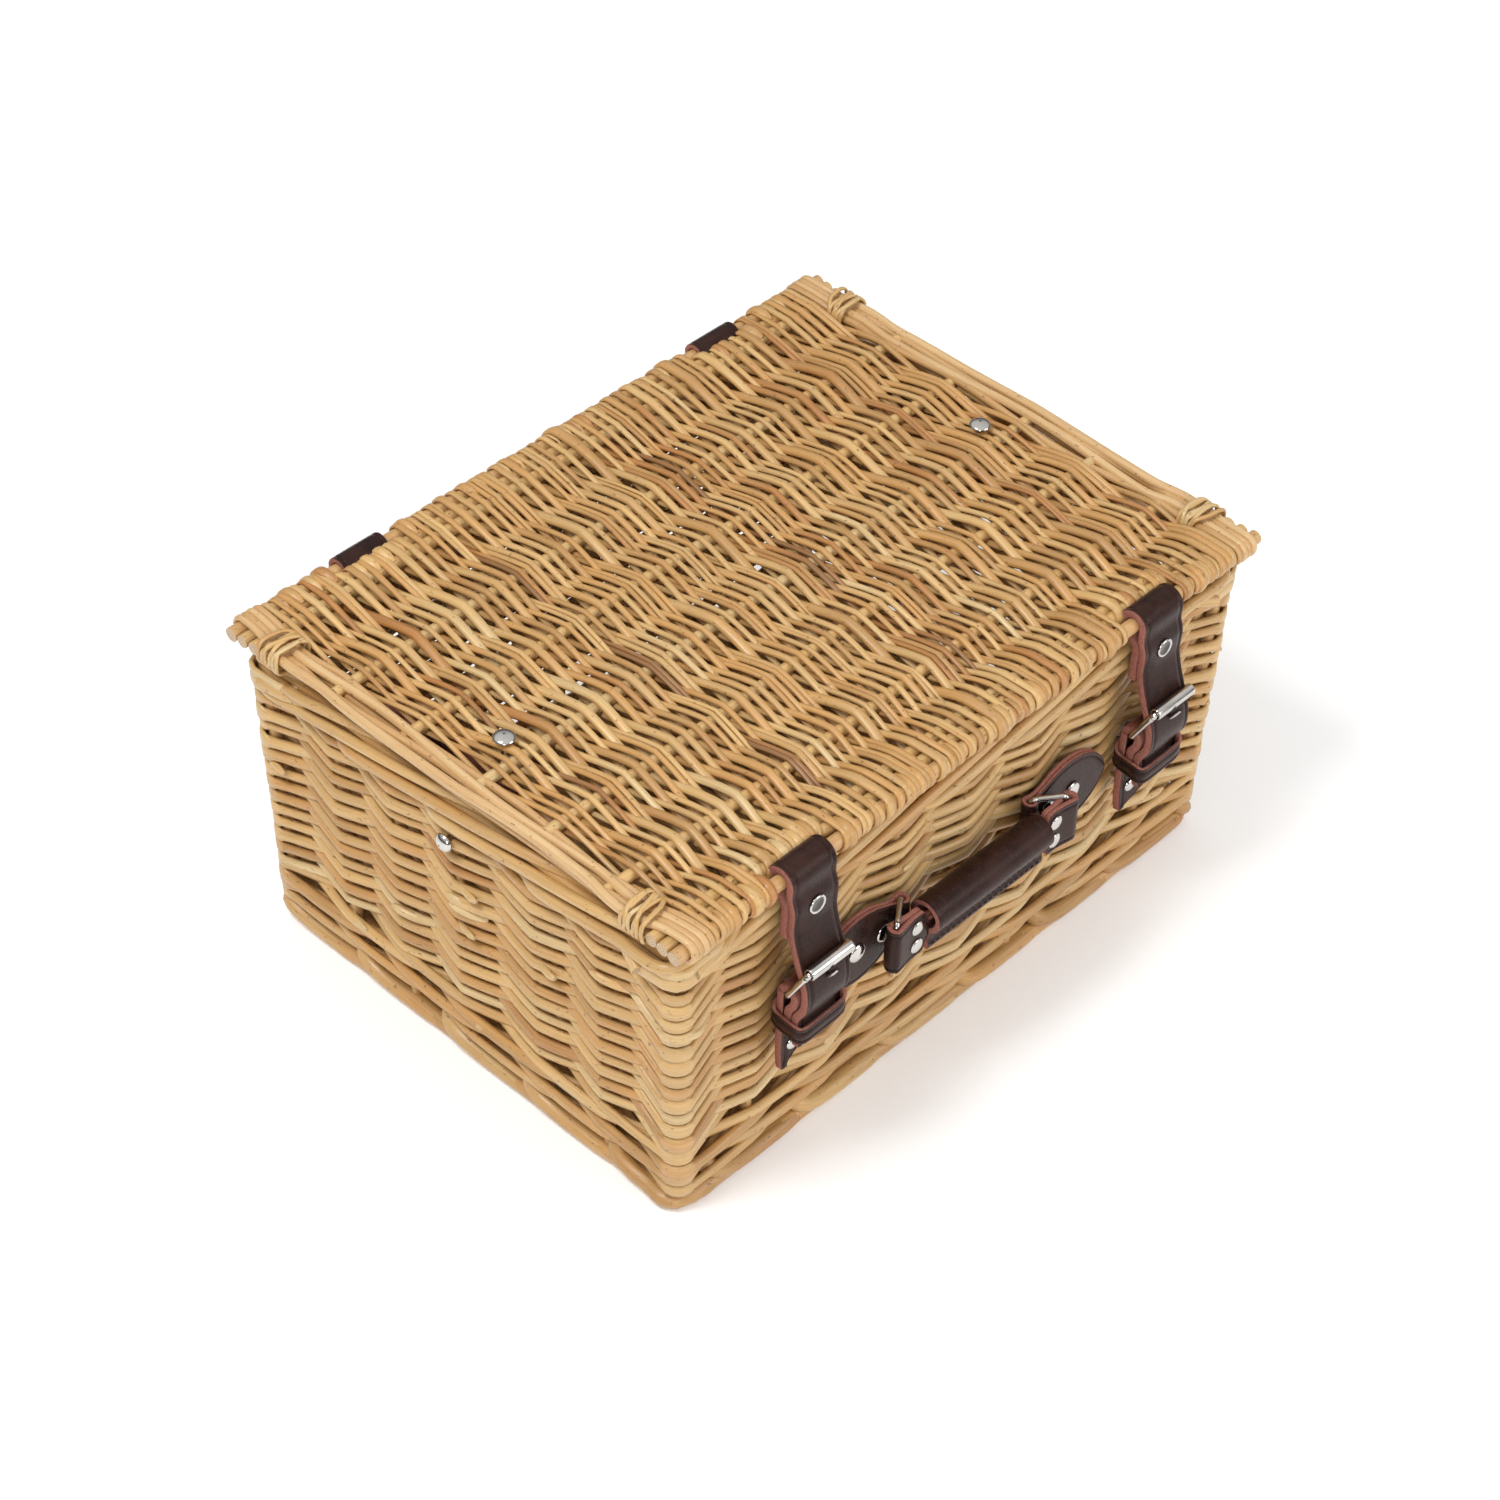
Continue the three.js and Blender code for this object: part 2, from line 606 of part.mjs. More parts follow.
function lowerStrap(side) {
  const foldRadius = WIRE + GAP + STRAP_LEATHER / 2;
  const line = [
    [BACK_LAYER_Y, LOWER_STRAP_END],
    [BACK_LAYER_Y, 96],
    [BACK_LAYER_Y, 103],
    ...arc(HEEL_Y, HEEL_Z, foldRadius, 0, 190, 8),
    [HEEL_Y - foldRadius + 1, 102],
    [FRONT_LAYER_Y, 98],
    [FRONT_LAYER_Y, KEEPER_BOTTOM + 1],
  ];
  const half = STRAP_WIDTH / 2;
  const x = side * STRAP_X;
  const band = prism('x', bandOutline(line, STRAP_LEATHER), x - half, x + half);
  const [from, to] = [BACK_LAYER_Y - HOLE_OVERRUN, BACK_LAYER_Y + HOLE_OVERRUN];
  const hole = studHole('y', STUD_SHANK, from, to, x + LOWER_STUD_OFFSET, LOWER_STUD_Z);
  const slot = box(x - 2.2, x + 2.2, HEEL_Y - 8, HEEL_Y + 8, HEEL_Z - SLOT_DEPTH, HEEL_Z + 8);
  const below = LOWER_STRAP_END - 1;
  const askew = [
    [x - half + 1.5, below],
    [x + half + 1, below],
    [x + half + 1, LOWER_STRAP_END + (side < 0 ? LEFT_RISE : RIGHT_RISE)],
  ];
  const trim = prism('y', askew, from, to);
  return subtract(band, hole, slot, trim);
}

function keeper(side) {
  const back = -wallFaceY(KEEPER_BOTTOM + KEEPER_HEIGHT) - GAP;
  const front = TAIL_Y - STRAP_LEATHER / 2 - GAP - KEEPER_THICKNESS;
  const middle = (back + front) / 2;
  const halfY = (back - front) / 2;
  const halfX = STRAP_WIDTH / 2 + GAP + KEEPER_THICKNESS;
  const outer = roundedRectangle(halfX, halfY, KEEPER_ROUND);
  const inner = roundedRectangle(halfX - KEEPER_THICKNESS, halfY - KEEPER_THICKNESS, 0.6);
  outer.holes.push(new THREE.Path(inner.getPoints(2)));
  const band = prism('z', outer, KEEPER_BOTTOM, KEEPER_BOTTOM + KEEPER_HEIGHT);
  return band.translate(side * STRAP_X, middle, 0);
}

const frameLean = Math.atan2(HEEL_Y - ROLLER_Y, ROLLER_Z - HEEL_Z);
const frameLength = Math.hypot(ROLLER_Y - HEEL_Y, ROLLER_Z - HEEL_Z);

// Stands a piece drawn in the XY plane, with the heel bar at y = 0, at the buckle's lean.
function atHeel(geometry, side) {
  geometry.rotateX(Math.PI / 2 + frameLean);
  return geometry.translate(side * STRAP_X, HEEL_Y, HEEL_Z);
}

function buckleFrame(side) {
  const ring = bentRing(FRAME_HALF_WIDTH, frameLength / 2, FRAME_BEND, WIRE, 6);
  return atHeel(ring.translate(0, frameLength / 2, 0), side);
}

function roller(side) {
  const outer = rod('x', ROLLER_RADIUS, -ROLLER_LENGTH / 2, ROLLER_LENGTH / 2, frameLength, 0, 14);
  const inner = rod('x', WIRE + GAP, -ROLLER_LENGTH, ROLLER_LENGTH, frameLength, 0, 12);
  return atHeel(subtract(outer, inner), side);
}

function prong(side) {
  const x = side * STRAP_X;
  const eye = rod('x', WIRE + PRONG_EYE, x - PRONG_RADIUS, x + PRONG_RADIUS, HEEL_Y, HEEL_Z, 14);
  const bore = rod('x', WIRE + GAP, x - HOLE_OVERRUN, x + HOLE_OVERRUN, HEEL_Y, HEEL_Z, 12);
  const tip = new THREE.Vector3(x, PRONG_TIP_Y, PRONG_TIP_Z);
  const reach = tip.clone().sub(new THREE.Vector3(x, HEEL_Y, HEEL_Z));
  const shaft = new THREE.CylinderGeometry(PRONG_RADIUS * 0.8, PRONG_RADIUS, reach.length() - 2.6, 8);
  shaft.translate(0, reach.length() / 2 + 1.3, 0);
  const turn = new THREE.Quaternion().setFromUnitVectors(INTO_FRONT, reach.clone().normalize());
  shaft.applyQuaternion(turn);
  shaft.translate(x, HEEL_Y, HEEL_Z);
  return subtract(unite(eye, shaft), bore);
}

for (const [name, side] of SIDES) {
  const x = side * STRAP_X;
  add(`lid_strap_${name}`, lidStrap(side), leather());
  const rivetFace = OUTER_LEG_Y - STRAP_LEATHER / 2 - GAP;
  const rivetHead = new THREE.Vector3(x, rivetFace, STRAP_RIVET_Z);
  const rivetLength = 2 * STRAP_LEATHER + 3 * GAP;
  const rivet = stud(rivetHead, INTO_FRONT, rivetLength, STUD_CAP, STUD_SHANK, STRAP_RIVET_DOME);
  add(`strap_rivet_${name}`, rivet, metal());
  add(`lower_strap_${name}`, lowerStrap(side), leather());
  const studFace = BACK_LAYER_Y - STRAP_LEATHER / 2 - GAP;
  const studHead = new THREE.Vector3(x + LOWER_STUD_OFFSET, studFace, LOWER_STUD_Z);
  const studLength = -studFace - wallFaceY(LOWER_STUD_Z) + WALL + GAP;
  add(`lower_stud_${name}`, stud(studHead, INTO_FRONT, studLength, LOWER_STUD_CAP), metal());
  add(`keeper_${name}`, keeper(side), leather());
  add(`buckle_frame_${name}`, buckleFrame(side), metal());
  add(`buckle_roller_${name}`, roller(side), metal());
  add(`buckle_prong_${name}`, prong(side), metal());
}

// ---------------------------------------------------------------- carrying handle

const FOLD_RADIUS = RING_WIRE + GAP + LEATHER / 2;
const GRIP_LEVEL = RING_LEVEL + 4.6;
const CORE_WAIST = 4.6; // half height of the core where it runs inside the grip
const CORE_NECK = 6;
const CUT_REACH = 9;
const RIVET_X = 43.4;
const RIVET_RISE = 5.2;
const handleRivets = [-1, 1].flatMap((side) =>
  [1, -1].map((rise) => [HANDLE_X + side * RIVET_X, RING_LEVEL + rise * RIVET_RISE]),
);
const TAB_BACK_Y = -wallFaceY(RING_LEVEL + TAB_HALF_HEIGHT) - GAP - LEATHER / 2;
const TAB_FRONT_Y = TAB_BACK_Y - LEATHER - GAP;

function tab(side) {
  const ringX = HANDLE_X + side * RING_BAR_X;
  const endX = HANDLE_X + side * TAB_END_X;
  const line = [
    [endX, TAB_BACK_Y],
    [ringX + side * 5, TAB_BACK_Y],
    ...arc(ringX, RING_BAR_Y, FOLD_RADIUS, 90, side > 0 ? 270 : -90, 8),
    [ringX + side * 5.4, TAB_FRONT_Y],
    [endX, TAB_FRONT_Y],
  ];
  const band = prism('z', bandOutline(line, LEATHER), RING_BOTTOM - 10, RING_TOP + 10);
  const leaf = new THREE.Shape();
  const foldX = ringX - side * 6;
  const bellyX = HANDLE_X + side * TAB_BELLY_X;
  const low = RING_LEVEL - LOOP_HALF_HEIGHT;
  const high = RING_LEVEL + LOOP_HALF_HEIGHT;
  const tabLow = RING_LEVEL - TAB_HALF_HEIGHT;
  const tabHigh = RING_LEVEL + TAB_HALF_HEIGHT;
  leaf.moveTo(foldX, low);
  leaf.lineTo(ringX + side * 5, low);
  leaf.quadraticCurveTo(bellyX - side * 10, tabLow, bellyX, tabLow);
  leaf.bezierCurveTo(endX, tabLow, endX, tabHigh, bellyX, tabHigh);
  leaf.quadraticCurveTo(bellyX - side * 10, tabHigh, ringX + side * 5, high);
  leaf.lineTo(foldX, high);
  const plan = prism('y', leaf, TAB_FRONT_Y - 12, TAB_BACK_Y + 12);
  const holes = TAB_STUDS.map((x) =>
    studHole('y', STUD_SHANK, TAB_FRONT_Y - 5, TAB_BACK_Y + 5, HANDLE_X + side * x, RING_LEVEL),
  );
  return subtract(intersect(band, plan), ...holes);
}

function handleRing(side) {
  const reach = Math.hypot(GRIP_BAR_X - RING_BAR_X, GRIP_BAR_Y - RING_BAR_Y);
  const height = RING_TOP - RING_BOTTOM;
  const ring = bentRing(reach / 2, height / 2, FRAME_BEND, RING_WIRE, 6);
  ring.translate(reach / 2, 0, 0);
  ring.rotateX(Math.PI / 2);
  ring.rotateZ(Math.atan2(GRIP_BAR_Y - RING_BAR_Y, side * (GRIP_BAR_X - RING_BAR_X)));
  return ring.translate(HANDLE_X + side * RING_BAR_X, RING_BAR_Y, RING_LEVEL);
}

function handleCore() {
  const half = LEATHER + GAP / 2;
  const right = arc(GRIP_BAR_X, GRIP_BAR_Y, FOLD_RADIUS + LEATHER / 2, -100, 100, 8);
  const left = arc(-GRIP_BAR_X, GRIP_BAR_Y, FOLD_RADIUS + LEATHER / 2, 80, 280, 8);
  const neck = GRIP_BAR_X - CORE_NECK;
  const outline = [
    ...right,
    [neck, GRIP_BAR_Y + half],
    [-neck, GRIP_BAR_Y + half],
    ...left,
    [-neck, GRIP_BAR_Y - half],
    [neck, GRIP_BAR_Y - half],
  ];
  const band = prism('z', outline, RING_LEVEL - LOOP_HALF_HEIGHT, RING_LEVEL + LOOP_HALF_HEIGHT);
  const bores = [-1, 1].map((side) =>
    rod('z', RING_WIRE + GAP, RING_BOTTOM, RING_TOP, side * GRIP_BAR_X, GRIP_BAR_Y, 12),
  );
  const waist = GRIP_HALF_LENGTH + GAP;
  const [from, to] = [GRIP_BAR_Y - CUT_REACH, GRIP_BAR_Y + CUT_REACH];
  const cuts = [
    box(-waist, waist, from, to, RING_BOTTOM, GRIP_LEVEL - CORE_WAIST),
    box(-waist, waist, from, to, GRIP_LEVEL + CORE_WAIST, RING_TOP),
  ];
  const rivetHoles = handleRivets.map(([x, z]) =>
    studHole('y', HANDLE_RIVET_SHANK, from, to, x - HANDLE_X, z),
  );
  return subtract(band, ...bores, ...cuts, ...rivetHoles).translate(HANDLE_X, 0, 0);
}

function grip() {
  const flangeEnd = RING_LEVEL - LOOP_HALF_HEIGHT - FLANGE_BELOW;
  const meet = THREE.MathUtils.radToDeg(Math.asin(GRIP_FLANGE / 2 / GRIP_RADIUS));
  const outline = arc(GRIP_BAR_Y, GRIP_LEVEL, GRIP_RADIUS, -90 + meet, 270 - meet, 16).concat([
    [GRIP_BAR_Y - GRIP_FLANGE / 2, flangeEnd],
    [GRIP_BAR_Y + GRIP_FLANGE / 2, flangeEnd],
  ]);
  const half = GRIP_HALF_LENGTH;
  const body = prism('x', outline, -half, half);
  const bore = rod('x', GRIP_RADIUS - LEATHER, -half - 1, half + 1, GRIP_BAR_Y, GRIP_LEVEL, 14);
  return subtract(body, bore).translate(HANDLE_X, 0, 0);
}

for (const [name, side] of SIDES) {
  add(`handle_tab_${name}`, tab(side), leather());
  add(`handle_ring_${name}`, handleRing(side), metal());
  TAB_STUDS.forEach((x, i) => {
    const face = TAB_FRONT_Y - LEATHER / 2 - GAP;
    const head = new THREE.Vector3(HANDLE_X + side * x, face, RING_LEVEL);
    const length = -face - wallFaceY(RING_LEVEL) + WALL + GAP;
    const place = i === 0 ? 'inner' : 'outer';
    add(`tab_stud_${place}_${name}`, stud(head, INTO_FRONT, length), metal());
  });
}
add('handle_grip', grip(), leather());
add('handle_core', handleCore(), leather());
handleRivets.forEach(([x, z]) => {
  const name = x < HANDLE_X ? 'left' : 'right';
  const place = z > RING_LEVEL ? 'upper' : 'lower';
  const face = GRIP_BAR_Y - LEATHER - GAP * 1.5;
  const head = new THREE.Vector3(x, face, z);
  const length = 2 * (LEATHER + GAP * 1.5);
  const rivet = stud(head, INTO_FRONT, length, HANDLE_RIVET_CAP, HANDLE_RIVET_SHANK, HANDLE_RIVET_DOME);
  add(`handle_rivet_${place}_${name}`, rivet, metal());
});

// ---------------------------------------------------------------- lid stays and their studs

// Each stay lies folded towards the hinge: one leg against the end wall, one under the lid.
function stay(side) {
  const half = STAY_WIDTH / 2;
  const wallLeg = bandOutline(
    [
      [STAY_WALL_Y - half, STAY_WALL_Z + 2],
      [STAY_WALL_Y + half, STAY_WALL_Z - 2],
      [STAY_FOLD_Y, STAY_FOLD_Z],
    ],
    STAY_WIDTH,
  );
  const lidLeg = bandOutline(
    [
      [STAY_FOLD_Y, STAY_FOLD_Z],
      [STAY_BEND_Y, STAY_BEND_Z],
    ],
    STAY_WIDTH,
  );
  const wallX = STAY_WALL_X - STAY_THICKNESS;
  const lidX = STAY_LID_X + STAY_LEG_OFFSET;
  const range = (a, b) => (side > 0 ? [a, b] : [-b, -a]);
  const outer = prism('x', wallLeg, ...range(wallX - STAY_THICKNESS, wallX));
  const middle = prism('x', lidLeg, ...range(lidX, lidX + STAY_THICKNESS));
  const fold = rod('x', half, ...range(lidX, wallX), STAY_FOLD_Y, STAY_FOLD_Z, 14);
  const top = LID_BOTTOM - GAP;
  const padX = range(STAY_LID_X - half, lidX + STAY_THICKNESS);
  const pad = box(...padX, -half, STAY_PAD_Y, top - STAY_THICKNESS, top);
  const riserX = range(lidX, lidX + STAY_THICKNESS);
  const riser = box(...riserX, STAY_PAD_Y / 2, STAY_PAD_Y, STAY_BEND_Z - 2, top);
  const wallHole = studHole('x', STUD_SHANK, ...range(STAY_LID_X, RIM_HALF_X), STAY_WALL_Y, STAY_WALL_Z);
  const lidHole = studHole('z', STUD_SHANK, top - HOLE_OVERRUN, top + HOLE_OVERRUN, side * STAY_LID_X, 0);
  return subtract(unite(outer, middle, fold, pad, riser), wallHole, lidHole);
}

for (const [name, side] of SIDES) {
  add(`stay_${name}`, stay(side), leather());
  const face = side * (wallFaceX(STAY_WALL_Z) + GAP);
  const head = new THREE.Vector3(face, STAY_WALL_Y, STAY_WALL_Z);
  const inner = STAY_WALL_X - 2 * STAY_THICKNESS - GAP;
  const length = Math.abs(face) - inner;
  const into = new THREE.Vector3(-side, 0, 0);
  const cap = stud(head, into, length, WALL_STUD_CAP, STUD_SHANK, WALL_STUD_DOME);
  add(`wall_stud_${name}`, cap, metal());
}

export default root;
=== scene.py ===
# Looks of the willow picnic hamper: every rod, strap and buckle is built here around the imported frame.
# Lengths are written in millimetres and turned into metres when a mesh is made.

import math

import bpy
import numpy as np
from mathutils import Matrix, Vector


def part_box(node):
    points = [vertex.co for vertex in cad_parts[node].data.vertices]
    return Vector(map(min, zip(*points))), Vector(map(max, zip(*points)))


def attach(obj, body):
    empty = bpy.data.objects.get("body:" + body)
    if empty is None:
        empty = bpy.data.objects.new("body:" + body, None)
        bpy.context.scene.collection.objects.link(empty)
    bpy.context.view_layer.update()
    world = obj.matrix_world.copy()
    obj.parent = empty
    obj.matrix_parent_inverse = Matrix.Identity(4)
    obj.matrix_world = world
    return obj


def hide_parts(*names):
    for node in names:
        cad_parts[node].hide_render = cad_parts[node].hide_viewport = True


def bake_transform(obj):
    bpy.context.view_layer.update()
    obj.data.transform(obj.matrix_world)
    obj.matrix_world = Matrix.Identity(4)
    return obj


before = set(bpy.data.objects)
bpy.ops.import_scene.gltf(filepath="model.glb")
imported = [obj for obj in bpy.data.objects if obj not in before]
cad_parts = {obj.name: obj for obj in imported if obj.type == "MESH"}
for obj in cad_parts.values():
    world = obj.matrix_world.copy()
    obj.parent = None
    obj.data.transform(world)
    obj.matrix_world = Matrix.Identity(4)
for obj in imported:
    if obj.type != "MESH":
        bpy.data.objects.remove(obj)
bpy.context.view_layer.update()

MM = 0.001
SIDES = (("left", -1), ("right", 1))
RIGHT, BACK, UP = (1, 0, 0), (0, 1, 0), (0, 0, 1)

# ------------------------------------------------------------------ main sizes, as in the CAD

RIM_HALF_X, RIM_HALF_Y = 175.5, 128.5
BASE_HALF_X, BASE_HALF_Y = 170.0, 126.5
RIM_LEVEL = 148.0
WALL_MIDDLE = 6.8
STICK_Y, STICK_Z, STICK_RADIUS = 129.0, 166.0, 3.3
STICK_PITCH, INNER_STICK_RADIUS = 6.5, 2.9
LID_HALF_X = 177.5
INNER_STICKS = (-86.0, -46.0, -7.5, 34.0, 72.5)
STRAP_X, STRAP_WIDTH, LEATHER, STRAP_LEATHER = 107.0, 25.0, 2.3, 3.8
NOTCH_HALF_WIDTH = 16.0
NOTCH_BOW = 3.0
HEEL = (-135.7, 106.0)
ROLLER = (-146.3, 126.0)
WIRE, FRAME_HALF_WIDTH = 1.5, 14.5
HANDLE_X, RING_LEVEL = -8.0, 96.6
RING_BAR = (40.4, -132.2)
GRIP_BAR = (54.0, -142.0)
RING_WIRE, RING_HALF_HEIGHT, LOOP_HALF_HEIGHT = 1.4, 13.6, 11.8
GRIP_HALF_LENGTH, GRIP_RADIUS, GRIP_LEVEL = 36.0, 8.0, 101.2


def face_x(z):
    return BASE_HALF_X + (RIM_HALF_X - BASE_HALF_X) * z / RIM_LEVEL


def face_y(z):
    return BASE_HALF_Y + (RIM_HALF_Y - BASE_HALF_Y) * z / RIM_LEVEL


# ------------------------------------------------------------------ materials

class Graph:
    """Short names for the nodes of a material or of the world."""

    def __init__(self, tree):
        self.nodes, self.link = tree.nodes, tree.links.new

    def node(self, kind, inputs, **settings):
        """A node with its settings, and each input linked to an output or set to a number or colour."""
        node = self.nodes.new(kind)
        for key, value in settings.items():
            setattr(node, key, value)
        for key, value in inputs.items():
            socket = node.inputs[key]
            if isinstance(value, float):
                socket.default_value = value
            elif isinstance(value, tuple):
                socket.default_value = (*value, 1.0) if socket.type == "RGBA" else value
            else:
                self.link(value, socket)
        return node

    def read(self, name, output):
        return self.node("ShaderNodeAttribute", {}, attribute_name=name).outputs[output]

    def noise(self, source, scale, detail, rough, stretch=None):
        if stretch:
            source = self.node("ShaderNodeMapping", {"Scale": stretch, "Vector": source}).outputs["Vector"]
        inputs = {"Scale": scale, "Detail": detail, "Roughness": rough, "Vector": source}
        return self.node("ShaderNodeTexNoise", inputs).outputs["Fac"]

    def ramp(self, factor, *stops):
        """Colours, or greys given as one number, at positions from 0 to 1."""
        node = self.node("ShaderNodeValToRGB", {"Fac": factor})
        elements = node.color_ramp.elements
        while len(elements) < len(stops):
            elements.new(0.5)
        for element, (position, color) in zip(elements, stops):
            element.position = position
            element.color = (*color, 1.0) if isinstance(color, tuple) else (color, color, color, 1.0)
        return node.outputs["Color"]

    def mix(self, factor, first, second, kind="MIX"):
        inputs = {0: factor, 6: first, 7: second}
        node = self.node("ShaderNodeMix", inputs, data_type="RGBA", blend_type=kind, clamp_factor=True)
        return node.outputs[2]

    def math(self, kind, *values, clamp=False):
        inputs = dict(enumerate(values))
        return self.node("ShaderNodeMath", inputs, operation=kind, use_clamp=clamp).outputs[0]

    def bump(self, height, strength, distance):
        inputs = {"Strength": strength, "Distance": distance, "Height": height}
        return self.node("ShaderNodeBump", inputs).outputs["Normal"]

    def shade(self, **inputs):
        """The Principled shader, with inputs named as on the node but with _ for each space."""
        inputs = {key.replace("_", " "): value for key, value in inputs.items()}
        shader = self.node("ShaderNodeBsdfPrincipled", inputs)
        self.node("ShaderNodeOutputMaterial", {"Surface": shader.outputs["BSDF"]})


def new_surface(name):
    surface = bpy.data.materials.new(name)
    surface.use_nodes = True
    graph = Graph(surface.node_tree)
    graph.nodes.clear()
    return surface, graph


WHITE = (1.0, 1.0, 1.0)


def willow_surface(name, *stops):
    """Peeled willow: each rod has its own tint, with streaks along it, specks and small knots."""
    surface, graph = new_surface(name)
    noise, ramp, mix = graph.noise, graph.ramp, graph.mix
    grain = graph.read("grain", "Vector")
    streaks = noise(grain, 1.0, 4.0, 0.6, (0.035, 1.1, 1.1))
    fine = noise(grain, 1.0, 3.0, 0.6, (0.09, 4.5, 4.5))
    patches = noise(grain, 1.0, 2.0, 0.5, (0.02, 0.09, 0.09))
    speck = noise(grain, 1.0, 1.0, 0.4, (0.45, 0.75, 0.75))
    tone = graph.math("SUBTRACT", graph.math("MULTIPLY_ADD", patches, 0.55, graph.read("tint", "Fac")), 0.275)
    color = mix(0.8, ramp(tone, *stops), ramp(streaks, (0.3, (0.80, 0.70, 0.58)), (0.62, WHITE)), "MULTIPLY")
    color = mix(0.7, color, ramp(fine, (0.3, (0.86, 0.80, 0.72)), (0.55, WHITE)), "MULTIPLY")
    specks = graph.math("MULTIPLY", ramp(speck, (0.255, 1.0), (0.30, 0.0)), 0.75, clamp=True)
    color = mix(specks, color, (0.20, 0.095, 0.035))
    inputs = {"Scale": 0.32, "Distortion": 1.5, "Vector": graph.read("round", "Vector")}
    rings = graph.node("ShaderNodeTexWave", inputs, wave_type="RINGS", rings_direction="X").outputs["Fac"]
    pith = ramp(rings, (0.0, (0.36, 0.21, 0.10)), (1.0, (0.62, 0.46, 0.27)))
    graph.shade(Base_Color=mix(graph.read("raw", "Fac"), color, pith),
                Roughness=ramp(streaks, (0.3, 0.46), (0.7, 0.30)),
                Specular_IOR_Level=0.5, Coat_Weight=0.22, Coat_Roughness=0.22,
                Normal=graph.bump(mix(0.4, fine, streaks), 0.35, 0.0006))
    return surface


def leather_surface(name):
    """Dark bridle leather: fine grain and faint creases on the face, raw fibrous edges and back."""
    surface, graph = new_surface(name)
    noise, ramp, mix = graph.noise, graph.ramp, graph.mix
    grain = graph.read("grain", "Vector")
    raw = graph.read("raw", "Fac")
    pores = graph.node("ShaderNodeTexVoronoi", {"Scale": 1.5, "Vector": grain}).outputs["Distance"]
    cloud = noise(grain, 0.10, 4.0, 0.6)
    fibre = noise(grain, 1.0, 4.0, 0.7, (0.9, 1.6, 1.6))
    creases = noise(grain, 1.0, 3.0, 0.6, (0.5, 0.09, 0.09))
    face = ramp(cloud, (0.3, (0.018, 0.0074, 0.0056)), (0.7, (0.040, 0.0165, 0.0120)))
    worn = graph.math("MULTIPLY", ramp(creases, (0.56, 0.0), (0.74, 1.0)), 0.35, clamp=True)
    face = mix(worn, face, (0.060, 0.030, 0.024))
    edge = ramp(fibre, (0.3, (0.22, 0.075, 0.055)), (0.7, (0.42, 0.185, 0.145)))
    graph.shade(Base_Color=mix(raw, face, edge),
                Roughness=mix(raw, ramp(cloud, (0.3, 0.22), (0.7, 0.36)), (0.85, 0.85, 0.85)),
                Specular_IOR_Level=0.13,
                Normal=graph.bump(mix(raw, mix(0.35, pores, creases), fibre), 0.30, 0.0004))
    return surface


def metal_surface(name):
    """Nickel plate with slight clouding and fine wear, and near black painted shade where raw is set, for the
    inside of holes: the roller's bore and the flat cap's centre.
    """
    surface, graph = new_surface(name)
    grain = graph.read("grain", "Vector")
    cloud = graph.noise(grain, 0.12, 2.0, 0.5)
    scratches = graph.noise(grain, 1.0, 3.0, 0.7, (0.6, 6.0, 6.0))
    plate = graph.ramp(cloud, (0.3, (0.50, 0.48, 0.45)), (0.7, (0.64, 0.61, 0.58)))
    # near black painted shade for the inside of holes, where raw is set
    graph.shade(Base_Color=graph.mix(graph.read("raw", "Fac"), plate, (0.055, 0.048, 0.044)),
                Roughness=graph.ramp(scratches, (0.3, 0.20), (0.7, 0.08)),
                Metallic=1.0,
                Normal=graph.bump(cloud, 0.03, 0.0002))
    return surface


SURFACES = {
    "willow": willow_surface(
        "willow",
        (0.04, (0.27, 0.130, 0.045)),
        (0.17, (0.46, 0.210, 0.060)),
        (0.32, (0.47, 0.275, 0.100)),
        (0.47, (0.58, 0.325, 0.110)),
        (0.62, (0.57, 0.370, 0.155)),
        (0.77, (0.66, 0.425, 0.170)),
        (0.90, (0.62, 0.455, 0.225)),
        (0.99, (0.74, 0.550, 0.285)),
    ),
    "willow_stick": willow_surface(
        "willow_stick",
        (0.05, (0.36, 0.185, 0.065)),
        (0.35, (0.52, 0.300, 0.115)),
        (0.65, (0.62, 0.390, 0.175)),
        (0.97, (0.70, 0.490, 0.250)),
    ),
    "leather": leather_surface("leather"),
    "nickel": metal_surface("nickel"),
}


# ------------------------------------------------------------------ mesh building

class Pile:
    """Points and faces in millimetres, with what the materials read at each point:
    grain (place along and across the piece), round (the same, from its own centre),
    tint (0 to 1) and raw (1 on cut ends, edges and flesh sides; on metal, 1 where painted shade stands for
    the shade inside a hole)."""

    def __init__(self):
        self.points, self.faces, self.grain, self.round, self.tint, self.raw = [], [], [], [], [], []
        self.count = 0

    def add(self, points, faces, grain, tint, raw, shift=0.0):
        points = np.asarray(points, float)
        n = len(points)
        self.points.append(points)
        self.faces.extend([[i + self.count for i in face] for face in faces])
        self.grain.append(np.asarray(grain, float) + shift * np.array([97.0, 31.0, 53.0]))
        self.round.append(np.asarray(grain, float) * np.array([0.0, 1.0, 1.0]))
        self.tint.append(np.broadcast_to(tint, n))
        self.raw.append(np.broadcast_to(raw, n))
        self.count += n

    def build(self, name, body, slot, *nodes):
        mesh = bpy.data.meshes.new(name)
        mesh.from_pydata((np.concatenate(self.points) * MM).tolist(), [], self.faces)
        for label, kind, field, rows in (
            ("grain", "FLOAT_VECTOR", "vector", self.grain),
            ("round", "FLOAT_VECTOR", "vector", self.round),
            ("tint", "FLOAT", "value", self.tint),
            ("raw", "FLOAT", "value", self.raw),
        ):
            values = np.concatenate(rows).astype(np.float32).ravel()
            mesh.attributes.new(label, kind, "POINT").data.foreach_set(field, values)
        mesh.shade_smooth()
        mesh.materials.append(SURFACES[slot])
        piece = bpy.data.objects.new(name, mesh)
        bpy.context.scene.collection.objects.link(piece)
        if nodes:
            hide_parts(*nodes)
        if body:
            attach(piece, body)
        return piece


def unit(vectors):
    return vectors / np.maximum(np.linalg.norm(vectors, axis=-1, keepdims=True), 1e-9)


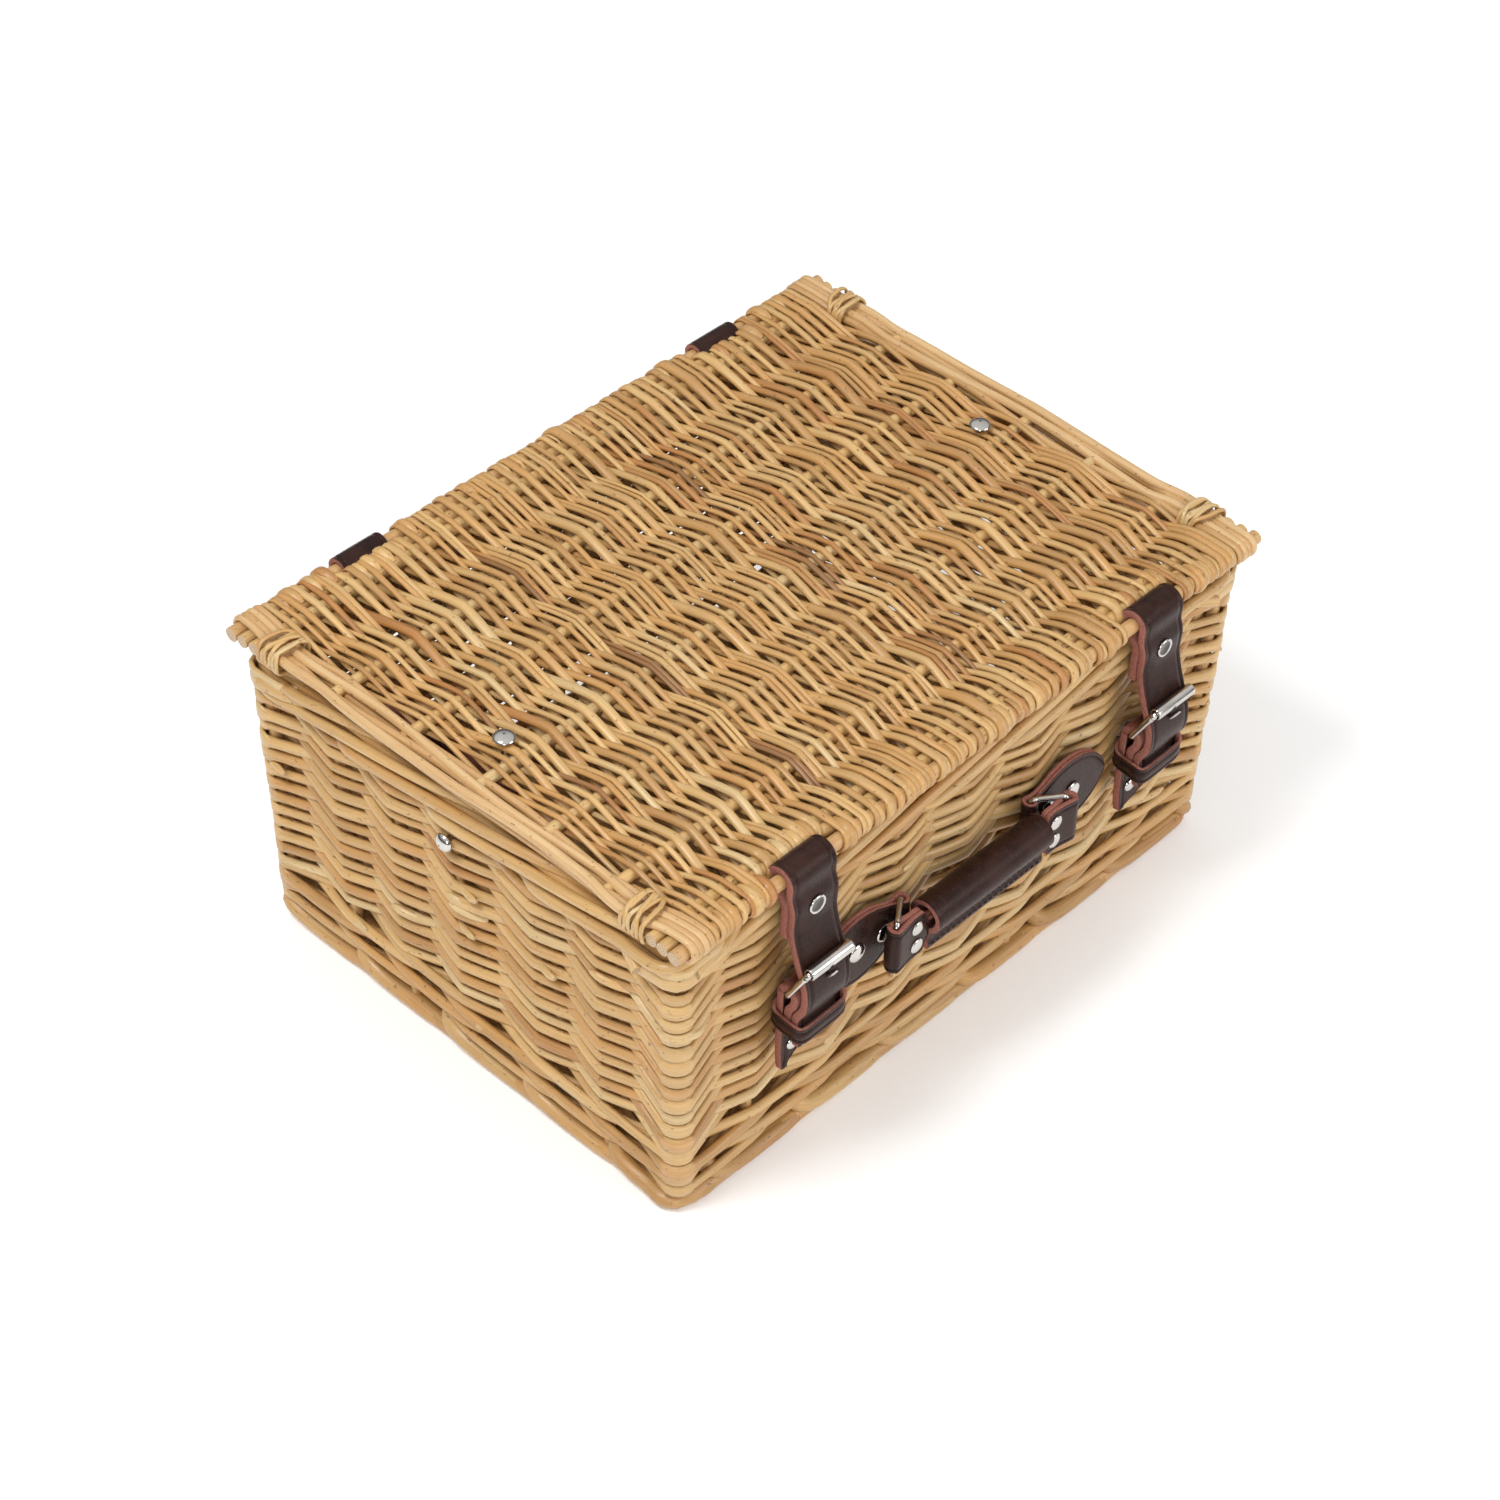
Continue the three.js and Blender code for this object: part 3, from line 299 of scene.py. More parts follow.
def frames(path, side, closed):
    """Tangent, side and up directions along a path, with `side` held as near as it can be."""
    if closed:
        tangent = np.roll(path, -1, 0) - np.roll(path, 1, 0)
    else:
        tangent = np.gradient(path, axis=0)
    tangent = unit(tangent)
    side = np.broadcast_to(np.asarray(side, float), path.shape)
    side = unit(side - tangent * np.sum(side * tangent, 1, keepdims=True))
    return tangent, side, np.cross(tangent, side)


def sweep(pile, path, side, section, tint, raw, closed=False, shift=0.0, end_raw=1.0):
    """Carries a section, an array (rings, corners, 2) of side and up offsets, along a path."""
    path = np.asarray(path, float)
    rings = len(path)
    section = np.broadcast_to(np.asarray(section, float), (rings, *np.shape(section)[-2:]))
    corners = section.shape[1]
    _, side, up = frames(path, side, closed)
    points = path[:, None] + side[:, None] * section[..., :1] + up[:, None] * section[..., 1:]
    along = travelled(path)
    grain = np.dstack([np.broadcast_to(along[:, None], (rings, corners)), section])
    raw = np.broadcast_to(raw, (rings, corners))
    faces = []
    for i in range(rings if closed else rings - 1):
        faces += belt(i * corners, (i + 1) % rings * corners, corners)
    pile.add(points.reshape(-1, 3), faces, grain.reshape(-1, 3), tint, raw.reshape(-1), shift)
    if closed:
        return
    for i, order in ((0, -1), (rings - 1, 1)):
        ring = np.vstack([points[i], points[i].mean(0)])
        lines = np.vstack([grain[i], [along[i], 0.0, 0.0]])
        fan = [[j, (j + 1) % corners, corners][::order] for j in range(corners)]
        pile.add(ring, fan, lines, tint, end_raw, shift)


def oval(wide, thick, sides, flat=1.0):
    """Oval sections, one for each entry of wide and thick; a lower `flat` is nearer a rectangle."""
    wide, thick, flat = np.broadcast_arrays(*(np.atleast_1d(v).astype(float) for v in (wide, thick, flat)))
    turn = 2 * np.pi * np.arange(sides) / sides
    c, s = np.cos(turn), np.sin(turn)
    c = np.sign(c) * np.abs(c) ** flat[:, None]
    s = np.sign(s) * np.abs(s) ** flat[:, None]
    return np.dstack([c * wide[:, None], s * thick[:, None]])


def rod(pile, path, side, wide, thick, tint, sides=8, closed=False, shift=0.0, flat=1.0):
    sweep(pile, path, side, oval(wide, thick, sides, flat), tint, 0.0, closed, shift)


def smooth_path(points, step, closed=False):
    """A Catmull-Rom curve through the points, sampled about every `step` millimetres."""
    points = np.asarray(points, float)
    count = len(points)
    made = []
    for i in range(count if closed else count - 1):
        if closed:
            p = [points[(i + k) % count] for k in (-1, 0, 1, 2)]
        else:
            p = [points[min(max(i + k, 0), count - 1)] for k in (-1, 0, 1, 2)]
        parts = max(2, int(round(np.linalg.norm(p[2] - p[1]) / step)))
        for t in np.arange(parts) / parts:
            made.append(0.5 * (2 * p[1] + (p[2] - p[0]) * t + (2 * p[0] - 5 * p[1] + 4 * p[2] - p[3]) * t ** 2
                               + (3 * p[1] - p[0] - 3 * p[2] + p[3]) * t ** 3))
    if not closed:
        made.append(points[-1])
    return np.array(made)


def travelled(path):
    """Distance along a path to each of its points."""
    return np.concatenate([[0.0], np.cumsum(np.linalg.norm(np.diff(path, axis=0), axis=1))])


def polar(degrees):
    return math.cos(math.radians(degrees)), math.sin(math.radians(degrees))


def arc(centre, radius, start, stop, steps):
    turn = np.radians(np.linspace(start, stop, steps + 1))
    return [(centre[0] + radius * math.cos(a), centre[1] + radius * math.sin(a)) for a in turn]


def rounded_loop(low_u, high_u, low_v, high_v, bend):
    """A closed rectangle with round corners."""
    flat = []
    for u, v, start in ((high_u - bend, high_v - bend, 90), (high_u - bend, low_v + bend, 0),
                        (low_u + bend, low_v + bend, -90), (low_u + bend, high_v - bend, -180)):
        flat += arc((u, v), bend, start, start - 90, 6)
    return flat


def belt(a, b, n, flip=False):
    """Quads between two rings of n points that start at a and b."""
    if flip:
        return [[a + j, b + j, b + (j + 1) % n, a + (j + 1) % n] for j in range(n)]
    return [[a + j, a + (j + 1) % n, b + (j + 1) % n, b + j] for j in range(n)]


def tint_near(rng, middle, spread, low, high):
    return float(np.clip(middle + spread * rng.standard_normal(), low, high))


# ------------------------------------------------------------------ the lid's weave

LID_MIDDLE = STICK_Z - 0.2
LID_INNER_RADIUS = 2.5
PLATEAU = 114.5  # how far back and forward the rods lie straight before they wrap the edge sticks
SPAN_STEPS = np.array([0.0, 0.07, 0.18, 0.31, 0.42, 0.5, 0.58, 0.69, 0.82, 0.93])
SWING = (0.8, 1.7, 2.0, 1.7, 2.1, 1.8, 0.8)  # sideways bend of a rod at each stick


def kink(t):
    """From 1, where a rod lies over a stick, to -1 at the next: nearly straight, with a bend at each."""
    return 0.88 * (1 - 2 * t) + 0.12 * np.cos(np.pi * t)


def lift(t, straight):
    """Height of a rod from 1, on top, to -1: a straight slope mixed with a soft one."""
    return straight * (1 - 2 * t) + (1 - straight) * np.cos(np.pi * t)


def bow(x):
    """How far the strap pushes the sticks behind it back at x."""
    return NOTCH_BOW / (1 + (abs(abs(x) - STRAP_X) / (NOTCH_HALF_WIDTH + 4.0)) ** 6)


def lid_pass(pile, x, half, over_front, tint, shift, rng):
    """One rod from the front edge to the back one, over and under the sticks in turn."""
    notch = abs(abs(x) - STRAP_X) < NOTCH_HALF_WIDTH + 1.2
    edge_y = STICK_Y - STICK_PITCH if notch else STICK_Y
    front_y = -edge_y + NOTCH_BOW if notch else -STICK_Y
    front_end = front_y + (3.8 if notch else 5.0)
    edge_radius = INNER_STICK_RADIUS if notch else STICK_RADIUS
    thick = half * 0.74
    spread = 1.1
    wrapped = rng.random() < 0.6
    wrap = edge_radius + thick * 0.75
    reach = LID_INNER_RADIUS + thick * 0.80
    low, high = LID_MIDDLE - wrap, LID_MIDDLE + wrap
    rows = [-PLATEAU, *INNER_STICKS, PLATEAU]
    spans = len(rows) - 1
    sign = 1.0 if over_front else -1.0
    calm = min(max((166.0 - abs(x)) / 20.0, 0.3), 1.0)
    path, wide, deep, flat = [], [], [], []

    def put(dx, y, z, w=1.0, d=1.0, f=1.0):
        path.append((x + dx * calm, y, z))
        wide.append(half * w)
        deep.append(thick * d)
        flat.append(f)

    def around(y, start, turn, dx, last_dx, w):
        for k in range(10):
            c, s = polar(start + turn * k)
            put(dx + (last_dx - dx) * k / 9, y + wrap * c, LID_MIDDLE + wrap * s, w, 0.66, 0.75)

    tail = 1.2 * sign
    if over_front:
        put(-2.6, front_y + 7.0, low)
        put(-1.6, front_y + 3.0, low, spread, 0.8)
        around(front_y, -90, -20, -1.2, 1.2, spread)
        put(tail, front_y + 3.5, high, spread, 0.75, 0.9)
        put(tail, -PLATEAU - 0.6 if notch else front_y + 7.5, high, 1.18, 0.85)
    elif wrapped:
        put(1.4, front_y + 7.5, high - 2.2, 0.7, 0.7)
        put(0.9, front_y + 3.6, high - 0.2, 0.95, 0.75)
        around(front_y, -270, 20, 0.4, -0.8, 1.0)
        put(tail, front_end, low)
    else:
        put(tail, front_y + 0.5, low, 1.0, 0.8)
        put(tail, front_end, low)
    for k in range(spans):
        s = sign if k % 2 == 0 else -sign
        first, last = k == 0, k == spans - 1
        here = SWING[k] * (1 + 0.18 * math.sin(x / 31 + 2.1 * k) + 0.07 * rng.standard_normal())
        there = SWING[k + 1] * (1 + 0.18 * math.sin(x / 31 + 2.1 * (k + 1)))
        for t in SPAN_STEPS:
            before = t < 0.5
            rise = wrap if (first if before else last) else reach
            near = max(1 - t * 3, 0) if first else max(1 - (1 - t) * 3, 0) if last else 0
            put(kink(t) * (here if before else there) * s, rows[k] + (rows[k + 1] - rows[k]) * t,
                LID_MIDDLE + lift(t, 0.45) * rise * s, 0.98 + 0.16 * near)
    if (sign if spans % 2 == 0 else -sign) > 0:
        put(1.2, PLATEAU, high, 1.14, 0.9)
        put(1.2, edge_y - 3.5, high, spread, 0.75, 0.9)
        around(edge_y, 90, -20, 1.2, -1.2, spread)
        put(-1.6, edge_y - 3.0, low, spread, 0.8)
        put(-2.6, edge_y - 7.0, low)
    elif wrapped:
        put(-1.2, PLATEAU, low)
        put(-1.2, edge_y - 3.0, low, 1.0, 0.75)
        around(edge_y, -90, 20, -0.8, 0.4, 1.0)
        put(0.9, edge_y - 3.6, high - 0.2, 0.95, 0.75)
        put(1.4, edge_y - 7.5, high - 2.2, 0.7, 0.7)
    else:
        put(-1.2, PLATEAU, low)
        put(-1.2, edge_y - 0.5, low, 1.0, 0.8)
    path = np.array(path)
    travel = np.linspace(0, 1, len(path))
    taper = 1 + 0.16 * (rng.random() - 0.5) * 2 * (travel - 0.5) * 2
    path[:, 0] += 0.4 * np.sin(travel * 23 + shift * 7)
    wide, deep = np.array(wide) * taper, np.array(deep) * taper
    rod(pile, path, RIGHT, wide, deep, tint, 8, False, shift, np.array(flat))


def rod_widths(rng, low, high, reach, crowd):
    """Half widths and places of rods laid side by side from -reach to reach."""
    found = []
    x = -reach
    while x < reach:
        half = low + (high - low) * rng.beta(1.3, 1.7)
        if found:
            x += crowd * (found[-1][1] + half) * (0.94 + 0.12 * rng.random())
        found.append((x, half))
    spread = reach / max(abs(found[-1][0]), 1)
    return [(x * spread, half) for x, half in found]


def build_lid():
    rng = np.random.default_rng(41)
    piles = {"left": Pile(), "middle": Pile(), "right": Pile()}
    over = True
    for n, (x, half) in enumerate(rod_widths(rng, 1.15, 2.7, 159.6, 0.86)):
        pile = piles["left" if x < -53 else "right" if x > 53 else "middle"]
        tint = tint_near(rng, 0.52, 0.19, 0.05, 0.98)
        if half > 1.7 and rng.random() < 0.30:
            for step in (-0.52, 0.52):
                lid_pass(pile, x + step * half * 1.1, half * 0.60, over, tint + 0.1 * step, n + step, rng)
        else:
            lid_pass(pile, x, half, over, tint, float(n), rng)
        over = not over
    sticks = piles["middle"]
    for n, y in enumerate(INNER_STICKS):
        path = [(x, y + 0.7 * math.sin(x / 40 + n), LID_MIDDLE + 0.15 * math.sin(x / 25 + n))
                for x in np.linspace(-171, 171, 40)]
        rod(sticks, path, BACK, 2.8, LID_INNER_RADIUS, 0.78 + 0.05 * (n % 3), 12, False, 200 + n)
    for side in (-1, 1):
        for row in (1, 2):
            y = side * (STICK_Y - row * STICK_PITCH)
            path = [(x, y + 0.25 * math.sin(x / 30 + row) + (bow(x) / row if side < 0 else 0.0), LID_MIDDLE)
                    for x in np.linspace(-LID_HALF_X + 0.4 * row, LID_HALF_X - 0.5 * row, 80)]
            rod(sticks, path, BACK, 3.05, 3.05, 0.6 + 0.1 * row, 14, False, 210 + row + side)
    for place, pile in piles.items():
        nodes = ("lid_weave",) if place == "middle" else ()
        pile.build(f"lid_weave_{place}", "lid", "willow", *nodes)
    for place, side in (("front", -1), ("back", 1)):
        pile = Pile()
        path = [(x, side * STICK_Y + 0.2 * math.sin(x / 33), LID_MIDDLE)
                for x in np.linspace(-LID_HALF_X, LID_HALF_X, 60)]
        rod(pile, path, BACK, STICK_RADIUS, STICK_RADIUS, 0.55, 16, False, 230 + side)
        pile.build(f"lid_edge_stick_{place}", "lid", "willow_stick", f"lid_stick_{place}")


# the rods down each end of the lid, as (x at the middle, x at the ends, radius, tint)
EDGE_RODS = (
    (163.6, 161.4, 1.9, 0.52),
    (167.0, 164.6, 2.1, 0.80),
    (170.6, 167.6, 2.0, 0.60),
    (173.9, 170.6, 2.2, 0.86),
)


def edge_line(n, x_mid, x_end, radius):
    """One rod down the right end of the lid, over the two edge sticks and in under them."""
    wrap = STICK_RADIUS + radius * 0.6
    level = LID_MIDDLE + 1.0 + (1.3 if n % 2 else 0.1)
    half_path = [(x_end - 0.8, STICK_Y - 9, LID_MIDDLE - wrap), (x_end - 0.5, STICK_Y - 3, LID_MIDDLE - wrap)]
    for a in range(-90, 91, 20):
        c, s = polar(a)
        half_path.append((x_end, STICK_Y + wrap * c, LID_MIDDLE + wrap * s))
    half_path += [
        (x_end + 0.2, STICK_Y - 5, LID_MIDDLE + wrap),
        (x_end + 0.8, STICK_Y - 12, LID_MIDDLE + wrap - 0.6),
        (x_mid, 104, level - 0.2),
        (x_mid + 0.5, 92, level),
    ]
    middle = []
    for y in np.linspace(78, -78, 14):
        x = x_mid + 1.7 * math.sin(y / (19 + 3 * n) + 2.3 * n)
        middle.append((min(x, 174.6), y, level + math.sin(y / 27 + n)))
    return half_path + middle + [(x, -y, z) for x, y, z in half_path[::-1]]


def tie_line(n, side, end):
    """One turn of the binding round the end rods and the edge stick at a corner of the lid."""
    line = []
    for a in np.linspace(0, 360, 40, endpoint=False):
        c, s = polar(a)
        x = 169.0 + 8.7 * np.sign(c) * abs(c) ** 0.62
        z = LID_MIDDLE + 0.5 + (6.0 + 0.45 * (n % 2)) * np.sign(s) * abs(s) ** 0.62
        turned = (1 - c) / 2
        cross = 1.7 * math.sin(math.radians(a) * 1.5 + 2.4 * n) * max(s, 0.25)
        y = end * (106 + (n - 2.5) * 2.3 * (1 - 0.42 * turned) + cross - 2.2 * turned)
        line.append((side * x, y, z))
    return line


def build_lid_sides():
    rng = np.random.default_rng(43)
    for name, side in SIDES:
        pile = Pile()
        for n, (x_mid, x_end, radius, tint) in enumerate(EDGE_RODS):
            path = smooth_path([(side * x, y, z) for x, y, z in edge_line(n, x_mid, x_end, radius)], 3.2)
            near_edge = np.clip((np.abs(path[:, 1]) - 108) / 12, 0, 1)
            wide = radius * (1 - 0.16 * near_edge)
            thick = radius * (1 - 0.38 * near_edge)
            tint += 0.06 * rng.standard_normal()
            rod(pile, path, RIGHT, wide, thick, tint, 10, False, 300 + n + side)
        for n, (x, z, radius) in enumerate(((166.0, LID_MIDDLE - 2.4, 1.9), (171.2, LID_MIDDLE - 2.6, 2.1))):
            line = [(side * (x + 0.8 * math.sin(y / 25 + n)), y, z) for y in np.linspace(-113, 113, 30)]
            rod(pile, line, RIGHT, radius, radius, 0.5, 8, False, 310 + n)
        pile.build(f"lid_edge_rods_{name}", "lid", "willow_stick", f"lid_rods_{name}")
        for end, place in ((-1, "front"), (1, "back")):
            pile = Pile()
            for n in range(6):
                tint = 0.62 + 0.3 * rng.random()
                rod(pile, tie_line(n, side, end), BACK, 1.05, 0.72, tint, 8, True, 320 + n, 0.85)
            pile.build(f"lid_corner_tie_{place}_{name}", "lid", "willow", f"lid_binding_{place}_{name}")


# ------------------------------------------------------------------ the walls' weave

END_STAKES = (76.0, 40.0, 3.0, -44.0, -81.0)
LONG_STAKES = (-126.0, -84.0, -42.0, 0.0, 42.0, 84.0, 126.0)
CORNER_TURN = 2.2
CORNER_FLAT = 2.4
MIDDLE_LEVEL = 75.0
PLAN_X = face_x(MIDDLE_LEVEL) - WALL_MIDDLE
PLAN_Y = face_y(MIDDLE_LEVEL) - WALL_MIDDLE


def plan_table():
    """The middle line of the walls, anticlockwise from the back left corner, as distances along it and
    rows of its place and the outward direction there."""
    rows = []
    for sx, sy, start in ((-1, -1, 180), (1, -1, 270), (1, 1, 0), (-1, 1, 90)):
        for a in np.linspace(start, start + 90, 9):
            c, s = polar(a)
            x, y = sx * (PLAN_X - CORNER_TURN), sy * (PLAN_Y - CORNER_TURN)
            rows.append((x + CORNER_TURN * c, y + CORNER_TURN * s, c, s))
    rows = np.array(rows)
    rows = np.vstack([rows[-5:], rows[:-5], rows[-5:-4]])
    return travelled(rows[:, :2]), rows


PLAN_DISTANCE, PLAN_ROWS = plan_table()
LOOP_LENGTH = PLAN_DISTANCE[-1]


def plan(s):
    s = np.mod(s, LOOP_LENGTH)
    return np.stack([np.interp(s, PLAN_DISTANCE, PLAN_ROWS[:, i]) for i in range(4)], -1)


def station(x, y):
    """Distance along the middle line to the place nearest (x, y)."""
    s = np.linspace(0, LOOP_LENGTH, 8000)
    p = plan(s)
    return float(s[np.argmin((p[:, 0] - x) ** 2 + (p[:, 1] - y) ** 2)])


def stations():
    """Every stake in order round the box, as (distance, is it a corner)."""
    found = []
    for sx, sy in ((-1, 1), (-1, -1), (1, -1), (1, 1)):
        found.append((station(sx * PLAN_X, sy * PLAN_Y) % LOOP_LENGTH, True))
    for y in END_STAKES:
        found += [(station(-PLAN_X, y), False), (station(PLAN_X, y), False)]
    for x in LONG_STAKES:
        found += [(station(x, -PLAN_Y), False), (station(x, PLAN_Y), False)]
    return sorted(found)


STATIONS = stations()


def on_wall(s, out, z):
    """Points at distance s round the box, `out` from the middle of the wall, at level z."""
    s, out, z = np.broadcast_arrays(*(np.asarray(v, float) for v in (s, out, z)))
    p = plan(s)
    x = p[..., 0] * (face_x(z) - WALL_MIDDLE) / PLAN_X + p[..., 2] * out
    y = p[..., 1] * (face_y(z) - WALL_MIDDLE) / PLAN_Y + p[..., 3] * out
    return np.stack([x, y, z], -1)


def wall_path(line, step):
    """A smooth path through (distance, out, level) places on the wall."""
    return smooth_path([on_wall(*place) for place in line], step)


STAKE_RADIUS = 2.5
CUT_ENDS = 44  # rod ends that show on the walls
# one rod of each border, as (distance from its start, out, level)
FOOT_ROD = ((-3, -1.5, 14.5), (-2.2, 1.0, 12.2), (1.0, 2.9, 9.0), (8, 3.3, 6.4), (18, 3.2, 5.0),
            (30, 3.0, 4.5), (42, 2.8, 4.3), (54, 1.4, 4.4), (64, -1.0, 5.0), (72, -2.6, 5.6))
RIM_ROD = ((-12, -3.0, 140.5), (-4, 0.5, 140.0), (6, 4.2, 141.4), (26, 4.6, 144.0), (50, 4.4, 147.4),
           (76, 4.2, 151.2), (100, 3.0, 154.3), (118, 0.4, 155.2), (134, -2.8, 154.2), (150, -4.0, 151.5))
WALL_STEPS = np.array([0.0, 0.06, 0.14, 0.30, 0.5, 0.70, 0.86, 0.94])
TURN_STEPS = np.array([0.0, 0.06, 0.14, 0.28, 0.40, 0.5, 0.60, 0.72, 0.86, 0.94])
CORNER_STEPS = np.array([0.0, 0.8, 1.6, 2.4, 3.6, 5.5, 8.5])


def wall_row(pile, z, half, pattern, start, swing, tint, shift, rng):
    """One rod round the whole box, in front of or behind each stake as the pattern says."""
    count = len(STATIONS)
    thick = half * 0.76
    reach = STAKE_RADIUS + thick * 0.82
    sways = [1.55 if corner else 0.85 + 0.45 * math.sin(2.4 * k + 0.6)
             for k, (_, corner) in enumerate(STATIONS)]
    rows = []
    for k in range(count):
        after = (k + 1) % count
        (s0, corner0), (s1, corner1) = STATIONS[k], STATIONS[after]
        if after == 0:
            s1 += LOOP_LENGTH
        a, b = (pattern[(i + start) % len(pattern)] for i in (k, after))
        gap = s1 - s0
        steps = WALL_STEPS if a == b else TURN_STEPS
        if corner0:
            steps = np.concatenate([CORNER_STEPS / gap, steps[steps > 0.35]])
        if corner1:
            steps = np.concatenate([steps[steps < 0.65], 1 - CORNER_STEPS[:0:-1] / gap])
        for t in steps:
            run = t
            if corner0:
                run = max(run - CORNER_FLAT / gap, 0) / (1 - CORNER_FLAT / gap)
            if corner1:
                run = min(run / (1 - CORNER_FLAT / gap), 1)
            if a == b:
                level = a * (1 + 0.12 * math.sin(math.pi * t))
                bend = a * (sways[k] * (1 - run) + sways[after] * run)
            else:
                level = a * lift(run, 0.85 if corner0 or corner1 else 0.5)
                bend = a * (1 - 2 * run) * sways[k if run < 0.5 else after]
            away = min(t * gap if corner0 else 99.0, (1 - t) * gap if corner1 else 99.0)
            close = float(np.clip((CORNER_FLAT + 2.0 - away) / 3.0, 0, 1))
            pressed = close * close * (3 - 2 * close) if level > 0 else 0
            slim = 0.14 if 8 < away < 16 and level > 0 else 0
            wide = 1 + 0.46 * pressed - slim
            rows.append((s0 + gap * t, level * reach + 0.7 * pressed, -bend * swing, wide, pressed))
    place, out, drop, wide, pressed = np.array(rows).T
    turn = 2 * np.pi * place / LOOP_LENGTH
    taper = 1 + 0.13 * np.sin(turn + shift) + 0.05 * np.sin(3 * turn + 2 * shift)
    path = on_wall(place, out, z + drop + 0.5 * np.sin(2 * turn + shift * 1.7))
    path[:, 2] += 0.12 * rng.standard_normal(len(path)) * (np.abs(out) < 1)
    pale = np.repeat(tint + (0.84 - tint) * 0.4 * pressed, 8)
    rod(pile, path, UP, half * wide * taper, thick * (1 - 0.48 * pressed) * taper, pale, 8, True, shift,
        1 - 0.35 * pressed)


def build_walls():
    rng = np.random.default_rng(47)
    z = 15.5
    index = 0
    pile = Pile()
    last = 2.6
    while z < 139.5:
        low = z < 36
        high = z > 128
        half = 2.75 if low else 2.2 if high else 2.45 + 0.35 * rng.random()
        half += 0.15 * rng.standard_normal()
        if index:
            z += 0.775 * (last + half)
        last = half
        tint = tint_near(rng, 0.56, 0.17, 0.08, 0.98)
        if low:
            pattern, start, swing = (1, 1, -1), (index * 2) % 3, 1.3
        else:
            pattern, start, swing = (1, -1), index % 2, 2.9 - max(0.0, z - 118) * 0.07
        wall_row(pile, z, half, pattern, start, swing * min(1.0, (z - 8) / 14), tint, 400.0 + index, rng)
        index += 1
    for n in range(CUT_ENDS):
        s = STATIONS[int(rng.integers(len(STATIONS)))][0] + 5.0 + 3.0 * rng.random()
        level = 22.0 + 108.0 * rng.random()
        side = 1 if rng.random() < 0.5 else -1
        radius = 1.7 + 0.6 * rng.random()
        line = [(s + side * ds, out, level + rise)
                for ds, out, rise in ((-9, 0.2, -1.2), (-3, 3.4, -0.4), (3, 5.3, 0.4), (8, 6.1, 1.2))]
        path = wall_path(line, 1.4)
        size = radius * np.interp(np.linspace(0, 1, len(path)), (0, 0.78, 1), (1, 1, 0.45))
        rod(pile, path, UP, size, size * 0.8, 0.86, 8, False, 470 + n)
    pile.build("wall_weave", "basket", "willow", "wall_front", "wall_back", "wall_left", "wall_right")
    stakes = Pile()
    levels = np.linspace(7, 147, 24)
    for n, (s, corner) in enumerate(STATIONS):
        if corner:
            for step in (-2.6, 2.6):
                path = on_wall(s + step, 0.0, levels)
                rod(stakes, path, (1, 1, 0), 3.0, 3.0, 0.7, 10, False, 440 + n + step)
        else:
            path = on_wall(s + 0.5 * np.sin(levels / 19 + n), 0.0, levels)
            tint = 0.68 + 0.1 * math.sin(n * 2.2)
            rod(stakes, path, (1, 1, 0), STAKE_RADIUS, STAKE_RADIUS, tint, 10, False, 440 + n)
    names = [f"corner_post_{a}_{b}" for a in ("front", "back") for b in ("left", "right")]
    stakes.build("wall_stakes", "basket", "willow_stick", *names)


def build_foot(rng):
    foot = Pile()
    pitch = LOOP_LENGTH / 22
    for n in range(22):
        s = n * pitch + 1.5 * rng.standard_normal()
        r = 3.9 + 0.3 * rng.random()
        path = wall_path([(s + ds, out, z) for ds, out, z in FOOT_ROD], 2.6)
        size = r * (1.0 - 0.16 * np.linspace(0, 1, len(path)))
        path[:, 2] = np.maximum(path[:, 2], size + 0.15)
        rod(foot, path, UP, size, size, tint_near(rng, 0.46, 0.14, 0.1, 0.9), 12, False, 500 + n)
    s = np.linspace(0, LOOP_LENGTH, 200, endpoint=False)
    for n, out in enumerate((1.9, -2.4)):
        path = on_wall(s, out + 0.3 * np.sin(s / 19 + n), 4.5 + 0.25 * np.sin(s / 27 + n))
        rod(foot, path, UP, 4.1, 4.1, 0.42 + 0.1 * n, 12, True, 530 + n)
    foot.build("foot_border_rods", "basket", "willow", "foot_border")


def build_rim_corner(rim, n, s):
    """The two rod ends and the two flat bands that cover a corner of the rim."""
    for reach, tip, r in ((-27, -13, 2.7), (30, 4.5, 3.0)):
        lean = 1 if reach > 0 else -1
        line = [(s + reach, 2.0, 147.5 + lean), (s + (reach + tip) / 2, 5.0, 146.0 + lean),
                (s + tip, 6.6 - lean, 144.4 + lean * 1.6)]
        rod(rim, wall_path(line, 1.6), UP, r, r * 0.85, 0.72, 10, False, 576 + n + reach)
    reach = np.linspace(-24, 24, 33)
    tuck = np.clip((np.abs(reach) - 15) / 9, 0, 1)
    for z, w in ((143.2, 3.4), (149.0, 2.6)):
        path = on_wall(s + reach, 5.4 - 4.2 * tuck ** 2, z + 0.10 * reach)
        rod(rim, path, UP, w * (1 - 0.35 * tuck), 1.1, 0.86, 10, False, 580 + n + z, 0.7)


